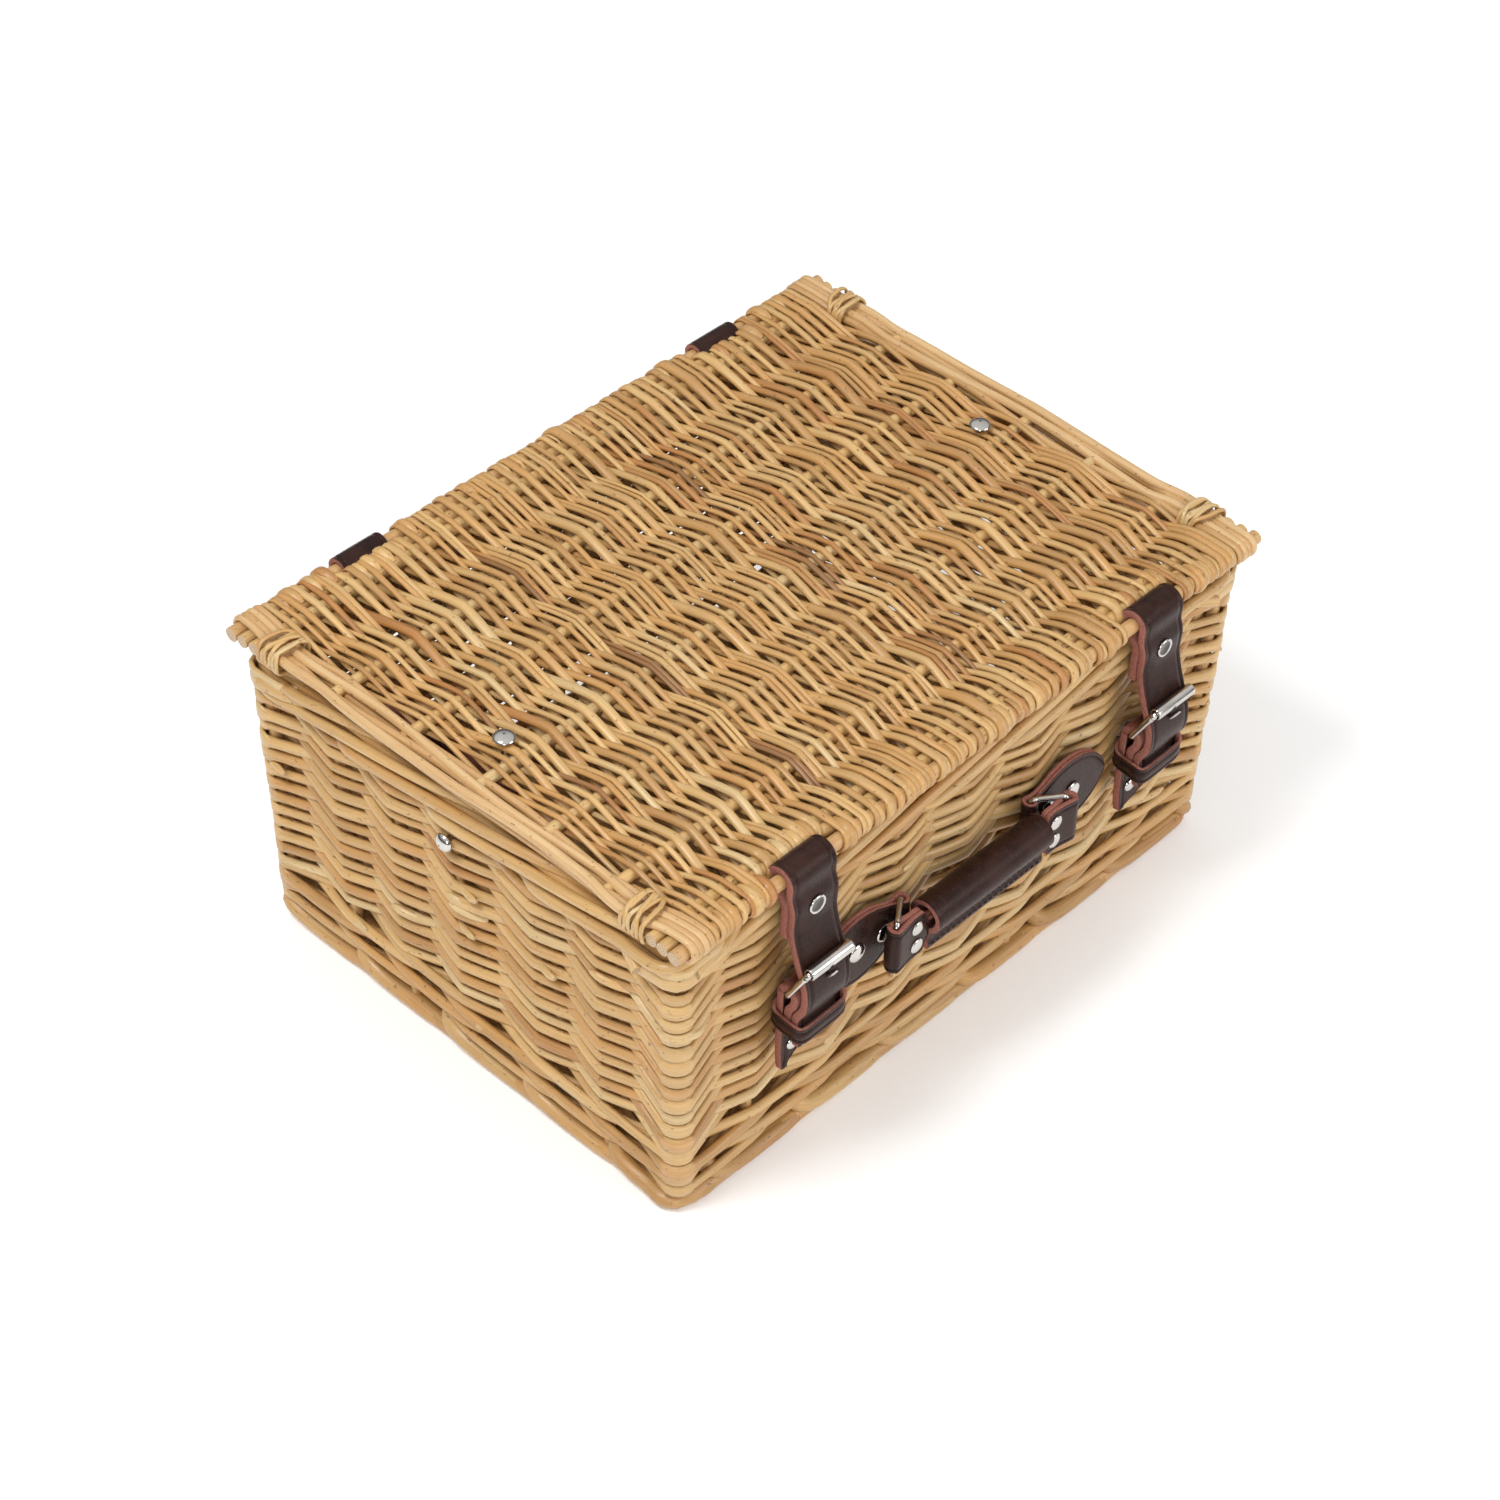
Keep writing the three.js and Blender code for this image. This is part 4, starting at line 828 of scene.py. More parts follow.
def build_borders():
    rng = np.random.default_rng(53)
    build_foot(rng)
    rim = Pile()
    pitch = LOOP_LENGTH / 21
    for n in range(21):
        s = n * pitch + 2.0 * rng.standard_normal()
        r = 2.75 + 0.45 * rng.random()
        path = wall_path([(s + ds, out, z) for ds, out, z in RIM_ROD], 4.0)
        size = r * (1.0 - 0.22 * np.linspace(0, 1, len(path)))
        path[:, 2] = np.minimum(path[:, 2], 158.2 - size)
        rod(rim, path, UP, size, size * 0.92, tint_near(rng, 0.60, 0.15, 0.1, 0.97), 10, False, 540 + n)
    s = np.linspace(0, LOOP_LENGTH, 180, endpoint=False)
    cores = ((-3.4, 143.6, 2.6), (-3.6, 149.2, 2.5), (-0.2, 145.5, 2.8), (-0.3, 151.3, 2.6))
    for n, (out, z, r) in enumerate(cores):
        path = on_wall(s, out + 0.5 * np.sin(s / 17 + n), z + 0.7 * np.sin(s / 23 + 2 * n))
        rod(rim, path, UP, r, r, 0.55, 8, True, 570 + n)
    for n, (s, corner) in enumerate(STATIONS):
        if corner:
            build_rim_corner(rim, n, s)
    rim.build("rim_border_rods", "basket", "willow", "rim_border")


def build_base():
    rng = np.random.default_rng(59)
    pile = Pile()
    ribs = np.linspace(-104, 104, 7)
    level = 5.2
    for n, y in enumerate(ribs):
        path = [(x, y + 0.6 * math.sin(x / 30 + n), level) for x in np.linspace(-158, 158, 30)]
        rod(pile, path, BACK, 2.3, 1.9, 0.6, 8, False, 600 + n)
    over = 1.0
    y = np.linspace(-114, 114, 74)
    for n, (x, half) in enumerate(rod_widths(rng, 1.9, 2.9, 153.0, 0.6)):
        wave = np.cos(np.pi * (y - ribs[0]) / (ribs[1] - ribs[0])) * over
        path = np.stack([x + 1.6 * wave, y, level + 2.1 * wave], -1)
        rod(pile, path, RIGHT, half, half * 0.75, tint_near(rng, 0.48, 0.15, 0.1, 0.95), 7, False, 620 + n)
        over = -over
    pile.build("base_weave", "basket", "willow", "base_panel")


# ------------------------------------------------------------------ leather

GROOVE_INSET = 2.1


def strap_section(half, thick):
    """Flat leather: a soft face with a creased line inside each edge, square raw edges, flat back."""
    t = thick / 2
    marks = ((0.0, t - 0.32), (0.14, t - 0.08), (0.5, t), (GROOVE_INSET - 0.45, t), (GROOVE_INSET, t - 0.42),
             (GROOVE_INSET + 0.45, t), (GROOVE_INSET + 2.0, t + 0.04))
    face = [(half - d * min(1.0, half / 4.5), v) for d, v in marks]
    face = face + [(0.0, t + 0.08)] + [(-u, v) for u, v in face[::-1]]
    inner = half - 0.35 * min(1, half)
    return face + [(-half, -t + 0.35), (-inner, -t), (0.0, -t), (inner, -t), (half, -t + 0.35)]


STRAP_RAW = np.array([1.0, 0.25] + [0.0] * 11 + [0.25, 1.0] + [1.0] * 5)


def strap(pile, path, side, half, thick, shift, flip=False, aside=0.0):
    """A leather band along a path, moved aside where it is cut askew; `flip` turns its finished face over."""
    path = np.asarray(path, float)
    half = np.broadcast_to(half, len(path))
    section = np.array([strap_section(max(h, 0.25), thick) for h in half])
    section[..., 0] += np.broadcast_to(aside, len(path))[:, None]
    if flip:
        section = section * np.array([1.0, -1.0])
        section = section[:, ::-1]
        raw = STRAP_RAW[::-1]
    else:
        raw = STRAP_RAW
    sweep(pile, path, side, section, 0.5, raw, False, shift)


def cut_slot(piece, centre, size):
    """Cuts a round-ended slot through a leather piece, along Y; size is (half width, half height)."""
    half_x, half_z = size
    angles = np.linspace(0.01, 2 * np.pi + 0.01, 20, endpoint=False)
    c, s = np.cos(angles) * half_x, np.sin(angles)
    outline = np.stack([c, np.zeros(20), (half_z - half_x) * np.sign(s) + half_x * s], -1)
    points = np.vstack([outline + np.array(centre) + (0, reach, 0) for reach in (-6.0, 6.0)])
    n = len(outline)
    faces = [[i, (i + 1) % n, n + (i + 1) % n, n + i] for i in range(n)]
    faces += [list(range(n))[::-1], list(range(n, 2 * n))]
    mesh = bpy.data.meshes.new("slot_tool")
    mesh.from_pydata((points * MM).tolist(), [], faces)
    tool = bpy.data.objects.new("slot_tool", mesh)
    bpy.context.scene.collection.objects.link(tool)
    cut = piece.modifiers.new("slot", "BOOLEAN")
    cut.operation = "DIFFERENCE"
    cut.solver = "EXACT"
    cut.object = tool
    with bpy.context.temp_override(object=piece, active_object=piece, selected_objects=[piece]):
        bpy.ops.object.modifier_apply(modifier=cut.name)
    bpy.data.objects.remove(tool)


def line_at(x, line):
    return smooth_path([(x, y, z) for y, z in line], 1.6)


def tip_half(path, half, length, shape):
    """Half widths along a path whose end is rounded (shape 2) or pointed (shape 1)."""
    steps = travelled(path)
    left = np.clip((steps[-1] - steps) / length, 0, 1)
    return half * (1 - (1 - left) ** shape) ** (1 / shape)


def dense_end(path, length):
    """Adds closely spaced points near the end of a path, so that a shaped tip is smooth."""
    steps = travelled(path)
    extra = steps[-1] - length * (1 - np.cos(np.linspace(0, np.pi / 2, 9)))
    wanted = np.unique(np.concatenate([steps[steps < steps[-1] - length], extra]))
    return np.stack([np.interp(wanted, steps, path[:, i]) for i in range(3)], -1)


LEATHER_FOLD = RING_WIRE + 0.3 + LEATHER / 2
LOOP_RADIUS = STICK_RADIUS + 0.3 + LEATHER / 2
STRAP_LOOP_RADIUS = STICK_RADIUS + 0.3 + STRAP_LEATHER / 2
INNER_LEG_Y = -131.75
OUTER_LEG_Y = INNER_LEG_Y - STRAP_LEATHER - 0.3
BACK_LAYER_Y = -131.9
FRONT_LAYER_Y = BACK_LAYER_Y - STRAP_LEATHER - 0.3
TAIL_Y = FRONT_LAYER_Y - STRAP_LEATHER - 0.5


def askew_strap(name, path, tip, shift, node, body, slots):
    """A buckle strap along a path, cut askew over its last `tip` millimetres, with its slots."""
    path = dense_end(path, tip)
    half = STRAP_WIDTH / 2
    ends = np.maximum(tip_half(path, half, tip, 1), 1.6)
    pile = Pile()
    strap(pile, path, RIGHT, ends, STRAP_LEATHER, shift, False, ends - half)
    piece = pile.build(name, None, "leather", node)
    for (y, z), size in slots:
        cut_slot(piece, (path[0, 0], y, z), size)
    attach(piece, body)


def keeper_loop(x):
    """The middle line of the band that holds the strap's tail."""
    back, front = -face_y(91) - 0.4, TAIL_Y - STRAP_LEATHER / 2 - 2.6
    turn = np.linspace(0, 2 * np.pi, 64, endpoint=False)
    c, s = np.cos(turn), np.sin(turn)
    return np.stack([
        x + (STRAP_WIDTH / 2 + 1.3) * np.sign(c) * np.abs(c) ** 0.28,
        (back + front) / 2 + (back - front) / 2 * np.sign(s) * np.abs(s) ** 0.42,
        91.8 + 2.6 * s + 1.6 * c,
    ], -1)


def build_straps():
    fold = WIRE + 0.3 + STRAP_LEATHER / 2
    upper = [(INNER_LEG_Y, 137.5), (INNER_LEG_Y, 147), (INNER_LEG_Y, 155), (-STICK_Y + 1.8, 159.3)]
    upper += arc((-STICK_Y, STICK_Z), STRAP_LOOP_RADIUS, -30, 180, 10)
    upper += [(-STICK_Y - STRAP_LOOP_RADIUS + 0.2, 160), (OUTER_LEG_Y - 0.1, 154), (OUTER_LEG_Y, 148),
              (OUTER_LEG_Y, 142), (-137.8, 134), (-140.6, 126), (-143.7, 117.5), (-144.9, 110),
              (-144.2, 103.8), (-142.0, 99.6), (TAIL_Y, 96), (TAIL_Y, 91), (TAIL_Y, 87), (TAIL_Y - 0.8, 81)]
    lower = [(BACK_LAYER_Y - 1.0, 61), (BACK_LAYER_Y - 0.3, 66), (BACK_LAYER_Y, 72), (BACK_LAYER_Y, 85),
             (BACK_LAYER_Y, 99)]
    lower += arc(HEEL, fold, 0, 180, 10)
    lower += [(HEEL[0] - fold + 0.7, 102.2), (FRONT_LAYER_Y - 0.5, 98.6), (FRONT_LAYER_Y, 94),
              (FRONT_LAYER_Y, 87.5)]
    leg_y = face_y(131) + 0.6 + LEATHER / 2
    outer_y = leg_y + LEATHER + 0.3
    hinge = [(leg_y, 122), (leg_y, 132), (leg_y, 150), (STICK_Y - 1.6, 159.8)]
    hinge += arc((STICK_Y, STICK_Z), LOOP_RADIUS, 200, 0, 12)
    hinge += [(STICK_Y + LOOP_RADIUS - 0.3, 160), (outer_y + 0.1, 151), (outer_y, 140), (outer_y, 130),
              (outer_y, 119)]
    for n, (name, side) in enumerate(SIDES):
        x = side * STRAP_X
        askew_strap(f"lid_strap_leather_{name}", line_at(x, upper), 9.0, 700 + n, f"lid_strap_{name}",
                    f"strap_{name}", (((-144.4, 116.0), (1.5, 5.2)), ((-142.6, 100.6), (1.3, 2.6))))
        tip = 15.0 if side < 0 else 7.0
        askew_strap(f"lower_strap_leather_{name}", line_at(x, lower)[::-1], tip, 710 + n,
                    f"lower_strap_{name}", "basket", (((HEEL[0] - 3.4, HEEL[1] + 0.8), (2.2, 7.0)),))
        pile = Pile()
        sweep(pile, keeper_loop(x), UP, strap_section(4.2, 1.8), 0.5, STRAP_RAW, True, 720 + n)
        pile.build(f"keeper_leather_{name}", "basket", "leather", f"keeper_{name}")
        path = dense_end(line_at(x, hinge), 7.0)
        pile = Pile()
        ends = np.maximum(tip_half(path, STRAP_WIDTH / 2, 7.0, 2), STRAP_WIDTH / 2 * 0.55)
        strap(pile, path, RIGHT, ends, LEATHER, 730 + n, True)
        pile.build(f"hinge_leather_{name}", "basket", "leather", f"hinge_loop_{name}")


def tab_half(u):
    """Half height of the handle tab, u millimetres from the ring bar towards its tip."""
    marks = ((-10, LOOP_HALF_HEIGHT), (4, LOOP_HALF_HEIGHT), (9, 13.6), (15, 16.6), (21, 18.2),
             (27, 18.5), (33, 17.4), (38, 15.2), (42, 12.4), (45, 9.2), (47.5, 5.6), (48.9, 1.6))
    return np.interp(u, [m[0] for m in marks], [m[1] for m in marks])


def build_tab(n, name, side):
    """A tab of two layers folded round the ring's bar; it bends between the wall and the ring."""
    rear = -face_y(RING_LEVEL + 18.5) - 1.0 - LEATHER / 2
    front = rear + 0.4 - LEATHER
    ring_x = HANDLE_X + side * RING_BAR[0]
    outline = [(u, rear) for u in (48.8, 47, 42, 30, 16, 5)]
    for a in range(0, 181, 18):
        c, s = polar(a)
        outline.append((-LEATHER_FOLD * s, RING_BAR[1] + LEATHER_FOLD * c))
    outline += [(5.4, front), (16, front), (30, front), (42, front - 0.1), (47, front - 0.2),
                (48.8, front - 0.3)]
    line = smooth_path([(u, y, 0) for u, y in outline], 1.2)
    path = np.stack([ring_x + side * line[:, 0], line[:, 1], np.full(len(line), RING_LEVEL)], -1)
    pile = Pile()
    strap(pile, path, UP, tab_half(line[:, 0]), 1.8, 740 + n, side < 0)
    piece = pile.build(f"handle_tab_leather_{name}", None, "leather", f"handle_tab_{name}")
    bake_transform(piece)


def build_ring(n, name, side):
    low, high = RING_LEVEL - RING_HALF_HEIGHT + RING_WIRE, RING_LEVEL + RING_HALF_HEIGHT - RING_WIRE
    bar = np.array([HANDLE_X + side * RING_BAR[0], RING_BAR[1]])
    across = np.array([HANDLE_X + side * GRIP_BAR[0], GRIP_BAR[1]]) - bar
    span = np.linalg.norm(across)
    across = across / span
    loop = [(*(bar + across * u), z) for u, z in rounded_loop(0, span, low, high, 3.2)]
    loop = smooth_path(loop, 2.0, True)
    pile = Pile()
    rod(pile, loop, (across[1], -across[0], 0.0), RING_WIRE, RING_WIRE, 0.5, 12, True, 750 + n)
    pile.build(f"handle_ring_wire_{name}", "handle", "nickel", f"handle_ring_{name}")


def build_core():
    """The leather inside the grip, folded round the ring's bar at each end."""
    pile = Pile()
    half = (LEATHER + 0.3) / 2
    bar = GRIP_BAR[0]
    outline = [(bar - u, -half) for u in (24, 16, 8)]
    for a in range(18, 163, 18):
        c, s = polar(a)
        outline.append((bar + LEATHER_FOLD * s, -LEATHER_FOLD * c))
    outline += [(bar - u, half) for u in (8, 16, 24)]
    line = smooth_path([(u, v, 0) for u, v in outline], 1.4)
    inside = np.clip((bar - 14.5 - line[:, 0]) / 2.5, 0, 1)
    for n, side in enumerate((-1, 1)):
        path = [HANDLE_X + side * line[:, 0], GRIP_BAR[1] + line[:, 1], np.full(len(line), RING_LEVEL)]
        strap(pile, np.stack(path, -1), UP, LOOP_HALF_HEIGHT - 7.4 * inside, LEATHER, 760 + n, side < 0)
    pile.build("handle_core_leather", "handle", "leather", "handle_core")


def grip_point(x, u, v):
    return (HANDLE_X + x, GRIP_BAR[1] - u, GRIP_LEVEL + v)


def build_grip():
    """The grip's leather: a tube round the core, closed by a stitched flange below."""
    pile = Pile()
    flange = 2.55
    meet = math.degrees(math.asin(flange / GRIP_RADIUS)) + 10
    drop = RING_LEVEL - LOOP_HALF_HEIGHT - 1.4 - GRIP_LEVEL
    left = [(-flange - 0.15, -GRIP_RADIUS - 0.9), (-flange, drop + 4.6), (-flange + 0.35, drop + 4.1),
            (-flange, drop + 3.6), (-flange, drop + 0.5), (-flange + 0.5, drop)]
    seam = [(-0.14, drop), (-0.1, drop + 1.5), (0.1, drop + 1.5), (0.14, drop)]
    outer = [np.array(polar(a)) * GRIP_RADIUS for a in np.linspace(-90 + meet, 270 - meet, 34)]
    outline = np.array(outer + left + seam + [(-u, v) for u, v in left[::-1]])
    inner_radius = GRIP_RADIUS - LEATHER
    bore = [np.array(polar(a)) * inner_radius for a in np.linspace(0, 360, 40, endpoint=False)]
    xs = np.concatenate([[-1, -0.97], np.linspace(-0.93, 0.93, 15), [0.97, 1]]) * GRIP_HALF_LENGTH
    points, grain, raw = [], [], []
    for x in xs:
        pinch = 0.03 if abs(x) > GRIP_HALF_LENGTH - 0.1 else 0
        swell = 1 + 0.03 * math.cos(x / GRIP_HALF_LENGTH * 1.5) - pinch
        for u, v in outline:
            points.append(grip_point(x, u * swell, v * swell if v > -GRIP_RADIUS else v))
            grain.append((x, u, v))
            raw.append(1.0 if v < drop + 0.3 else 0.0)
    faces = []
    for i in range(len(xs) - 1):
        faces += belt(i * len(outline), (i + 1) * len(outline), len(outline), True)
    pile.add(points, faces, grain, 0.5, raw, 771)
    points = [grip_point(x, u, v) for x in (xs[0], xs[-1]) for u, v in bore]
    pile.add(points, belt(0, len(bore), len(bore)), points, 0.5, 1.0, 772)
    angles = np.arctan2(outline[:, 1], outline[:, 0])
    end = np.vstack([outline, np.stack([np.cos(angles), np.sin(angles)], -1) * inner_radius])
    for x, order in ((xs[0], 1), (xs[-1], -1)):
        points = [grip_point(x, u, v) for u, v in end]
        faces = [face[::order] for face in belt(0, len(outline), len(outline))]
        pile.add(points, faces, [(y, z, 0) for _, y, z in points], 0.5, 1.0, 773)
    pile.build("handle_grip_leather", "handle", "leather", "handle_grip")

    stitch = ((-1.15, 0.5, 2.0), (-0.8, 0, 2.05), (0.8, 0, 2.15), (1.15, 0.5, 2.2))
    pile = Pile()
    for face in (-1, 1):
        for k in range(21):
            x = HANDLE_X + (k - 10) * 3.3
            y = GRIP_BAR[1] + face * (flange + 0.12)
            path = [(x + dx, y - face * sunk, GRIP_LEVEL + drop + rise) for dx, sunk, rise in stitch]
            rod(pile, smooth_path(path, 0.6), UP, 0.34, 0.3, 0.3, 6, False, 780 + k)
    pile.build("handle_stitches", "handle", "leather")


# ------------------------------------------------------------------ metal

def lathe(pile, centre, axis, profile, shift, flat=0.0):
    """Turns (radius, height) pairs about an axis through centre; `flat` is how much painted shade the first
    two rings get, standing for a hole.
    """
    sides = 28
    axis = np.asarray(axis, float)
    across = unit(np.cross(axis, (0.31, 0.87, 0.38)))
    other = np.cross(axis, across)
    points, grain, faces = [], [], []
    for radius, height in profile:
        for a in 2 * np.pi * np.arange(sides) / sides:
            c, s = radius * math.cos(a), radius * math.sin(a)
            points.append(np.asarray(centre, float) + axis * height + across * c + other * s)
            grain.append((height, c, s))
    for i in range(len(profile) - 1):
        faces += belt(i * sides, (i + 1) * sides, sides, True)
    last = (len(profile) - 1) * sides
    faces += [list(range(last, last + sides)), list(range(sides))[::-1]]
    # painted shade on the first two rings, for the hole in a flat cap's centre
    hole_shade = [flat if row < 2 else 0.0 for row in range(len(profile)) for _ in range(sides)]
    pile.add(points, faces, grain, 0.5, hole_shade, shift)


def cap_profile(radius, dome, depth):
    if dome < 1.0:
        rows = [(0.05, 0.32), (0.70, 0.34), (0.78, 0.5), (0.86, 0.78), (0.94, 0.7), (1, 0.35), (1, 0.0)]
    else:
        rows = [(math.sin(a), dome * math.cos(a)) for a in np.linspace(0.04, np.pi / 2 * 0.93, 8)]
        rows += [(1, 0.12), (0.97, -0.1)]
    return [(radius * r, z) for r, z in rows + [(0.4, -0.15), (0.34, -depth)]]


def stud_at(name, body, node, centre, axis, radius, dome, shift, inset, spare=0.7):
    """A cap, its shaft and the washer behind. The axis is (0, 1 or 2, sign); along it the cap starts `inset`
    inside the CAD stud, and the shaft is as long as the CAD stud less the dome and `spare`."""
    low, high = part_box(node)
    i, sign = axis
    direction = np.zeros(3)
    direction[i] = sign
    centre = np.array(centre, float)
    centre[i] = (high if sign > 0 else low)[i] / MM - sign * inset
    depth = (high[i] - low[i]) / MM - dome - spare
    pile = Pile()
    # a flat cap's sunk centre gets painted shade, as the shade inside the rivet's hole
    lathe(pile, centre, direction, cap_profile(radius, dome, depth), shift, 0.95 if dome < 1.0 else 0.0)
    washer = [(0.1, 0.7), (radius * 0.7, 0.55), (radius * 0.85, 0.1), (radius * 0.8, 0.0), (0.5, -0.1)]
    lathe(pile, centre - direction * depth, -direction, washer, shift + 1)
    pile.build(name, body, "nickel", node)


def build_studs(n, name, side):
    x = side * STRAP_X
    front = (1, -1)
    stud_at(f"lid_cap_{name}", "lid", f"lid_stud_{name}", (side * 144, 0, 0), (2, 1), 4.8, 1.7, 800 + n,
            1.6, 0.6)
    stud_at(f"wall_cap_{name}", "basket", f"wall_stud_{name}", (0, STAY_WALL_Y, STAY_WALL_Z), (0, side),
            4.5, 3.0, 804 + n, 3.0, 0.8)
    for label, node, body, px, pz, radius, dome in (
        ("strap_rivet_cap", "strap_rivet", f"strap_{name}", x, 151.5, 4.6, 0.9),
        ("lower_cap", "lower_stud", "basket", x - 6.3, 72.8, 3.3, 1.5),
        ("tab_cap_inner", "tab_stud_inner", "basket", HANDLE_X + side * 51, RING_LEVEL, 4.6, 1.5),
        ("tab_cap_outer", "tab_stud_outer", "basket", HANDLE_X + side * 67.5, RING_LEVEL, 4.6, 1.5),
    ):
        stud_at(f"{label}_{name}", body, f"{node}_{name}", (px, 0, pz), front, radius, dome, 810 + n, dome)
    stud_at(f"hinge_cap_{name}", "basket", f"hinge_stud_{name}", (x, 0, 131), (1, 1), 4.4, 1.5, 830 + n, 1.5)
    for rise, place in ((5.2, "upper"), (-5.2, "lower")):
        stud_at(f"core_cap_{place}_{name}", "handle", f"handle_rivet_{place}_{name}",
                (HANDLE_X + side * 43.4, 0, RING_LEVEL + rise), front, 3.5, 1.0, 840 + n, 1.0)


def build_roller(n, name, bar):
    """A rolled tube with a seam along it and a bore through it."""
    pile = Pile()
    xs = np.concatenate([[-12, -11.9, -11.6], np.linspace(-11, 11, 9), [11.6, 11.9, 12]])
    size = np.interp(np.abs(xs), (0, 11, 11.6, 11.9, 12), (2.72, 2.68, 2.66, 2.55, 2.35))
    sides, seam, bore = 40, 3, 1.85
    rings = [(x, [r - (0.35 if j == seam else 0.0) for j in range(sides)]) for x, r in zip(xs, size)]
    rings += [(x, [bore] * sides) for x in (12, -12)]
    grain, faces = [], []
    for x, radii in rings:
        for j, r in enumerate(radii):
            a = 2 * math.pi * j / sides
            grain.append((x, r * math.cos(a), r * math.sin(a)))
    for i in range(len(rings)):
        faces += belt(i * sides, (i + 1) % len(rings) * sides, sides)
    # painted shade in the bore, fading out over the tube's ends
    hole_shade = [0.0] * (len(xs) * sides) + [1.0] * (2 * sides)
    pile.add(np.array(grain) + bar, faces, grain, 0.5, hole_shade, 860 + n)
    pile.build(f"buckle_roller_tube_{name}", f"roller_{name}", "nickel", f"buckle_roller_{name}")


def build_prong(n, name, heel):
    """A pin curled round the buckle's heel bar, with its tip on the roller."""
    reach = np.array([0.0, ROLLER[0] - 4.3 - HEEL[0], ROLLER[1] - 2.0 - HEEL[1]])
    base = math.atan2(reach[2], reach[1])
    c, s = math.cos(base), math.sin(base)
    curl = arc((0, 0), WIRE + 1.3, -170, 150, 16)[:1:-1]
    line = [heel + (0, u * c - v * s, u * s + v * c) for u, v in curl]
    line += [heel + reach * t + (0, -1.3 * math.sin(math.pi * t), 0) for t in (0.32, 0.5, 0.7, 0.88, 1.0)]
    path = smooth_path(line, 1.0)
    size = np.interp(np.linspace(0, 1, len(path)), (0, 0.6, 0.9, 1.0), (1.15, 1.2, 1.1, 0.8))
    pile = Pile()
    rod(pile, path, RIGHT, size, size, 0.5, 12, False, 870 + n)
    pile.build(f"buckle_pin_{name}", f"prong_{name}", "nickel", f"buckle_prong_{name}")


def build_buckle(n, name, side):
    heel = np.array([side * STRAP_X, *HEEL])
    along = np.array([0.0, ROLLER[0] - HEEL[0], ROLLER[1] - HEEL[1]])
    length = np.linalg.norm(along)
    along = along / length
    half = FRAME_HALF_WIDTH - WIRE
    loop = np.array([heel + (u, 0, 0) + along * v for u, v in rounded_loop(-half, half, 0, length, 3.0)])
    pile = Pile()
    rod(pile, smooth_path(loop, 2.0, True), np.cross(along, RIGHT), WIRE, WIRE, 0.5, 14, True, 850 + n)
    pile.build(f"buckle_wire_{name}", f"buckle_{name}", "nickel", f"buckle_frame_{name}")
    build_roller(n, name, heel + along * length)
    build_prong(n, name, heel)


# ------------------------------------------------------------------ lid stays, folded inside the lid

HINGE = np.array([STICK_Y, STICK_Z])
OPEN_TURN = math.radians(105.0)
STAY_WALL_X, STAY_WALL_Y, STAY_WALL_Z = 157.4, 3.0, 133.0
STAY_LID_X, STAY_LID_Y, STAY_TOP = 144.5, 0.0, 151.2
STAY_HALF_WIDTH, STAY_THICKNESS = 6.0, 0.6


def turned(point, angle):
    c, s = math.cos(angle), math.sin(angle)
    return np.array([point[0] * c - point[1] * s, point[0] * s + point[1] * c])


def build_stays():
    """Each stay is a thin strap that blends from the wall to the lid as the lid opens: its shut shape is
    the straight, open one turned back about the hinge by the share that each point will turn."""
    wall = np.array([STAY_WALL_Y, STAY_WALL_Z]) - HINGE
    lid_open = turned(np.array([STAY_LID_Y, STAY_TOP]) - HINGE, -OPEN_TURN)
    for n, (name, side) in enumerate(SIDES):
        path, across = [], []
        for f in np.linspace(-0.04, 1.04, 48):
            t = float(np.clip(f, 0, 1))
            back = OPEN_TURN * t * t * (3 - 2 * t)
            y, z = HINGE + turned(wall + (lid_open - wall) * f, back)
            path.append((side * (STAY_WALL_X + (STAY_LID_X - STAY_WALL_X) * f), y, min(z, STAY_TOP)))
            flat = turned(lid_open - wall, back)
            across.append(np.array([0.0, -flat[1], flat[0]]) / np.linalg.norm(flat))
        pile = Pile()
        strap(pile, path, across, STAY_HALF_WIDTH, STAY_THICKNESS, 880 + n)
        piece = pile.build(f"stay_leather_{name}", None, "leather", f"stay_{name}")
        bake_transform(piece)


# ------------------------------------------------------------------ floor, light and camera

LIGHT_TARGET = Vector((0, 0, 0.08))


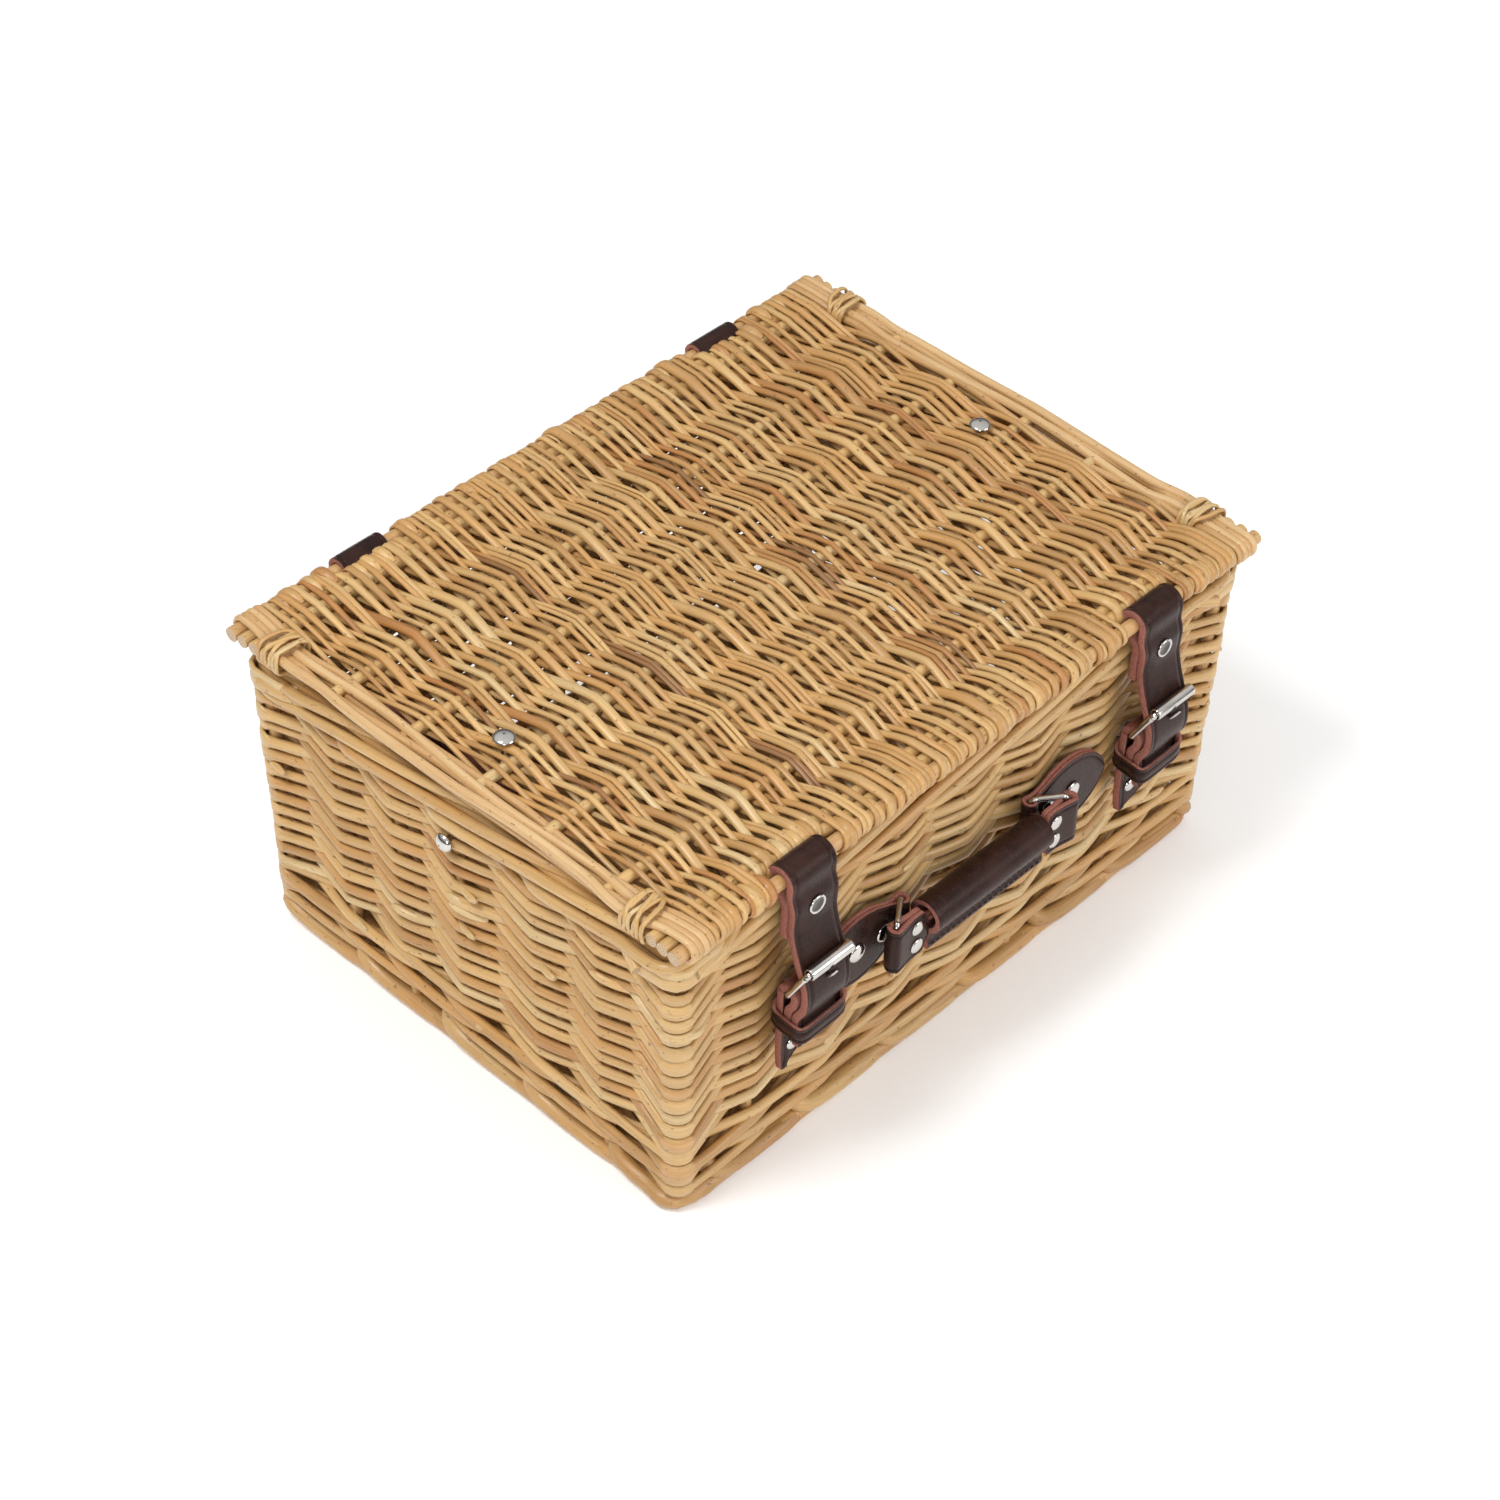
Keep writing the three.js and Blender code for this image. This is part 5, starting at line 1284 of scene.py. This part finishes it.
def build_studio():
    mesh = bpy.data.meshes.new("floor")
    size = 6.0
    corners = [(-size, -size, 0), (size, -size, 0), (size, size, 0), (-size, size, 0)]
    mesh.from_pydata(corners, [], [[0, 1, 2, 3]])
    floor = bpy.data.objects.new("floor", mesh)
    bpy.context.scene.collection.objects.link(floor)
    surface, graph = new_surface("floor_paper")
    graph.shade(Base_Color=(0.93, 0.93, 0.93), Roughness=0.9, Emission_Color=WHITE, Emission_Strength=0.1)
    mesh.materials.append(surface)

    world = bpy.data.worlds.new("studio")
    world.use_nodes = True
    graph = Graph(world.node_tree)
    place = graph.node("ShaderNodeTexCoord", {}).outputs["Generated"]
    height = graph.node("ShaderNodeSeparateXYZ", {"Vector": place}).outputs["Z"]
    background = graph.nodes["Background"]
    sky = graph.ramp(height, (0.0, 0.14), (0.30, 0.20), (0.60, 0.90), (1.0, 1.05))
    graph.link(sky, background.inputs["Color"])
    background.inputs["Strength"].default_value = 0.85
    bpy.context.scene.world = world
    bpy.context.scene.view_settings.view_transform = "Standard"
    for name, place, size, power in (
        ("key", (-0.85, 0.15, 1.7), 0.5, 16.2),
        ("fill", (0.7, -1.7, 0.9), 1.0, 13.0),
        ("side", (-1.35, -1.3, 0.9), 0.45, 7.6),
    ):
        lamp = bpy.data.lights.new(name, "AREA")
        lamp.size = size
        lamp.energy = power
        light = bpy.data.objects.new(name, lamp)
        light.location = place
        light.rotation_euler = (LIGHT_TARGET - Vector(place)).to_track_quat("-Z", "Y").to_euler()
        bpy.context.scene.collection.objects.link(light)


# the camera as fitted to the photo: place in metres, angles in degrees, lens as a share of the sensor's width
CAMERA_PLACE = (-0.8405, -0.7744, 1.1526)
CAMERA_AZIMUTH, CAMERA_ELEVATION, CAMERA_ROLL = -47.384, 43.456, 1.997
LENS_PER_WIDTH = 2.3818667


def build_camera():
    a, e, r = (math.radians(v) for v in (CAMERA_AZIMUTH, CAMERA_ELEVATION, CAMERA_ROLL))
    back = Vector((math.sin(a) * math.cos(e), -math.cos(a) * math.cos(e), math.sin(e)))
    level = Vector((math.cos(a), math.sin(a), 0.0))
    up = back.cross(level)
    right = level * math.cos(r) + up * math.sin(r)
    above = up * math.cos(r) - level * math.sin(r)
    turn = Matrix((right, above, back)).transposed().to_4x4()
    camera = bpy.data.cameras.new("camera")
    camera.sensor_width = 36.0
    camera.lens = 36.0 * LENS_PER_WIDTH
    camera.clip_end = 20.0
    holder = bpy.data.objects.new("camera", camera)
    holder.matrix_world = Matrix.Translation(CAMERA_PLACE) @ turn
    bpy.context.scene.collection.objects.link(holder)
    bpy.context.scene.camera = holder


build_camera()
build_studio()
build_lid()
build_lid_sides()
build_walls()
build_borders()
build_base()
build_straps()
for number, (end_name, end_side) in enumerate(SIDES):
    build_tab(number, end_name, end_side)
    build_ring(number, end_name, end_side)
build_core()
build_grip()
for number, (end_name, end_side) in enumerate(SIDES):
    build_studs(number, end_name, end_side)
    build_buckle(number, end_name, end_side)
build_stays()
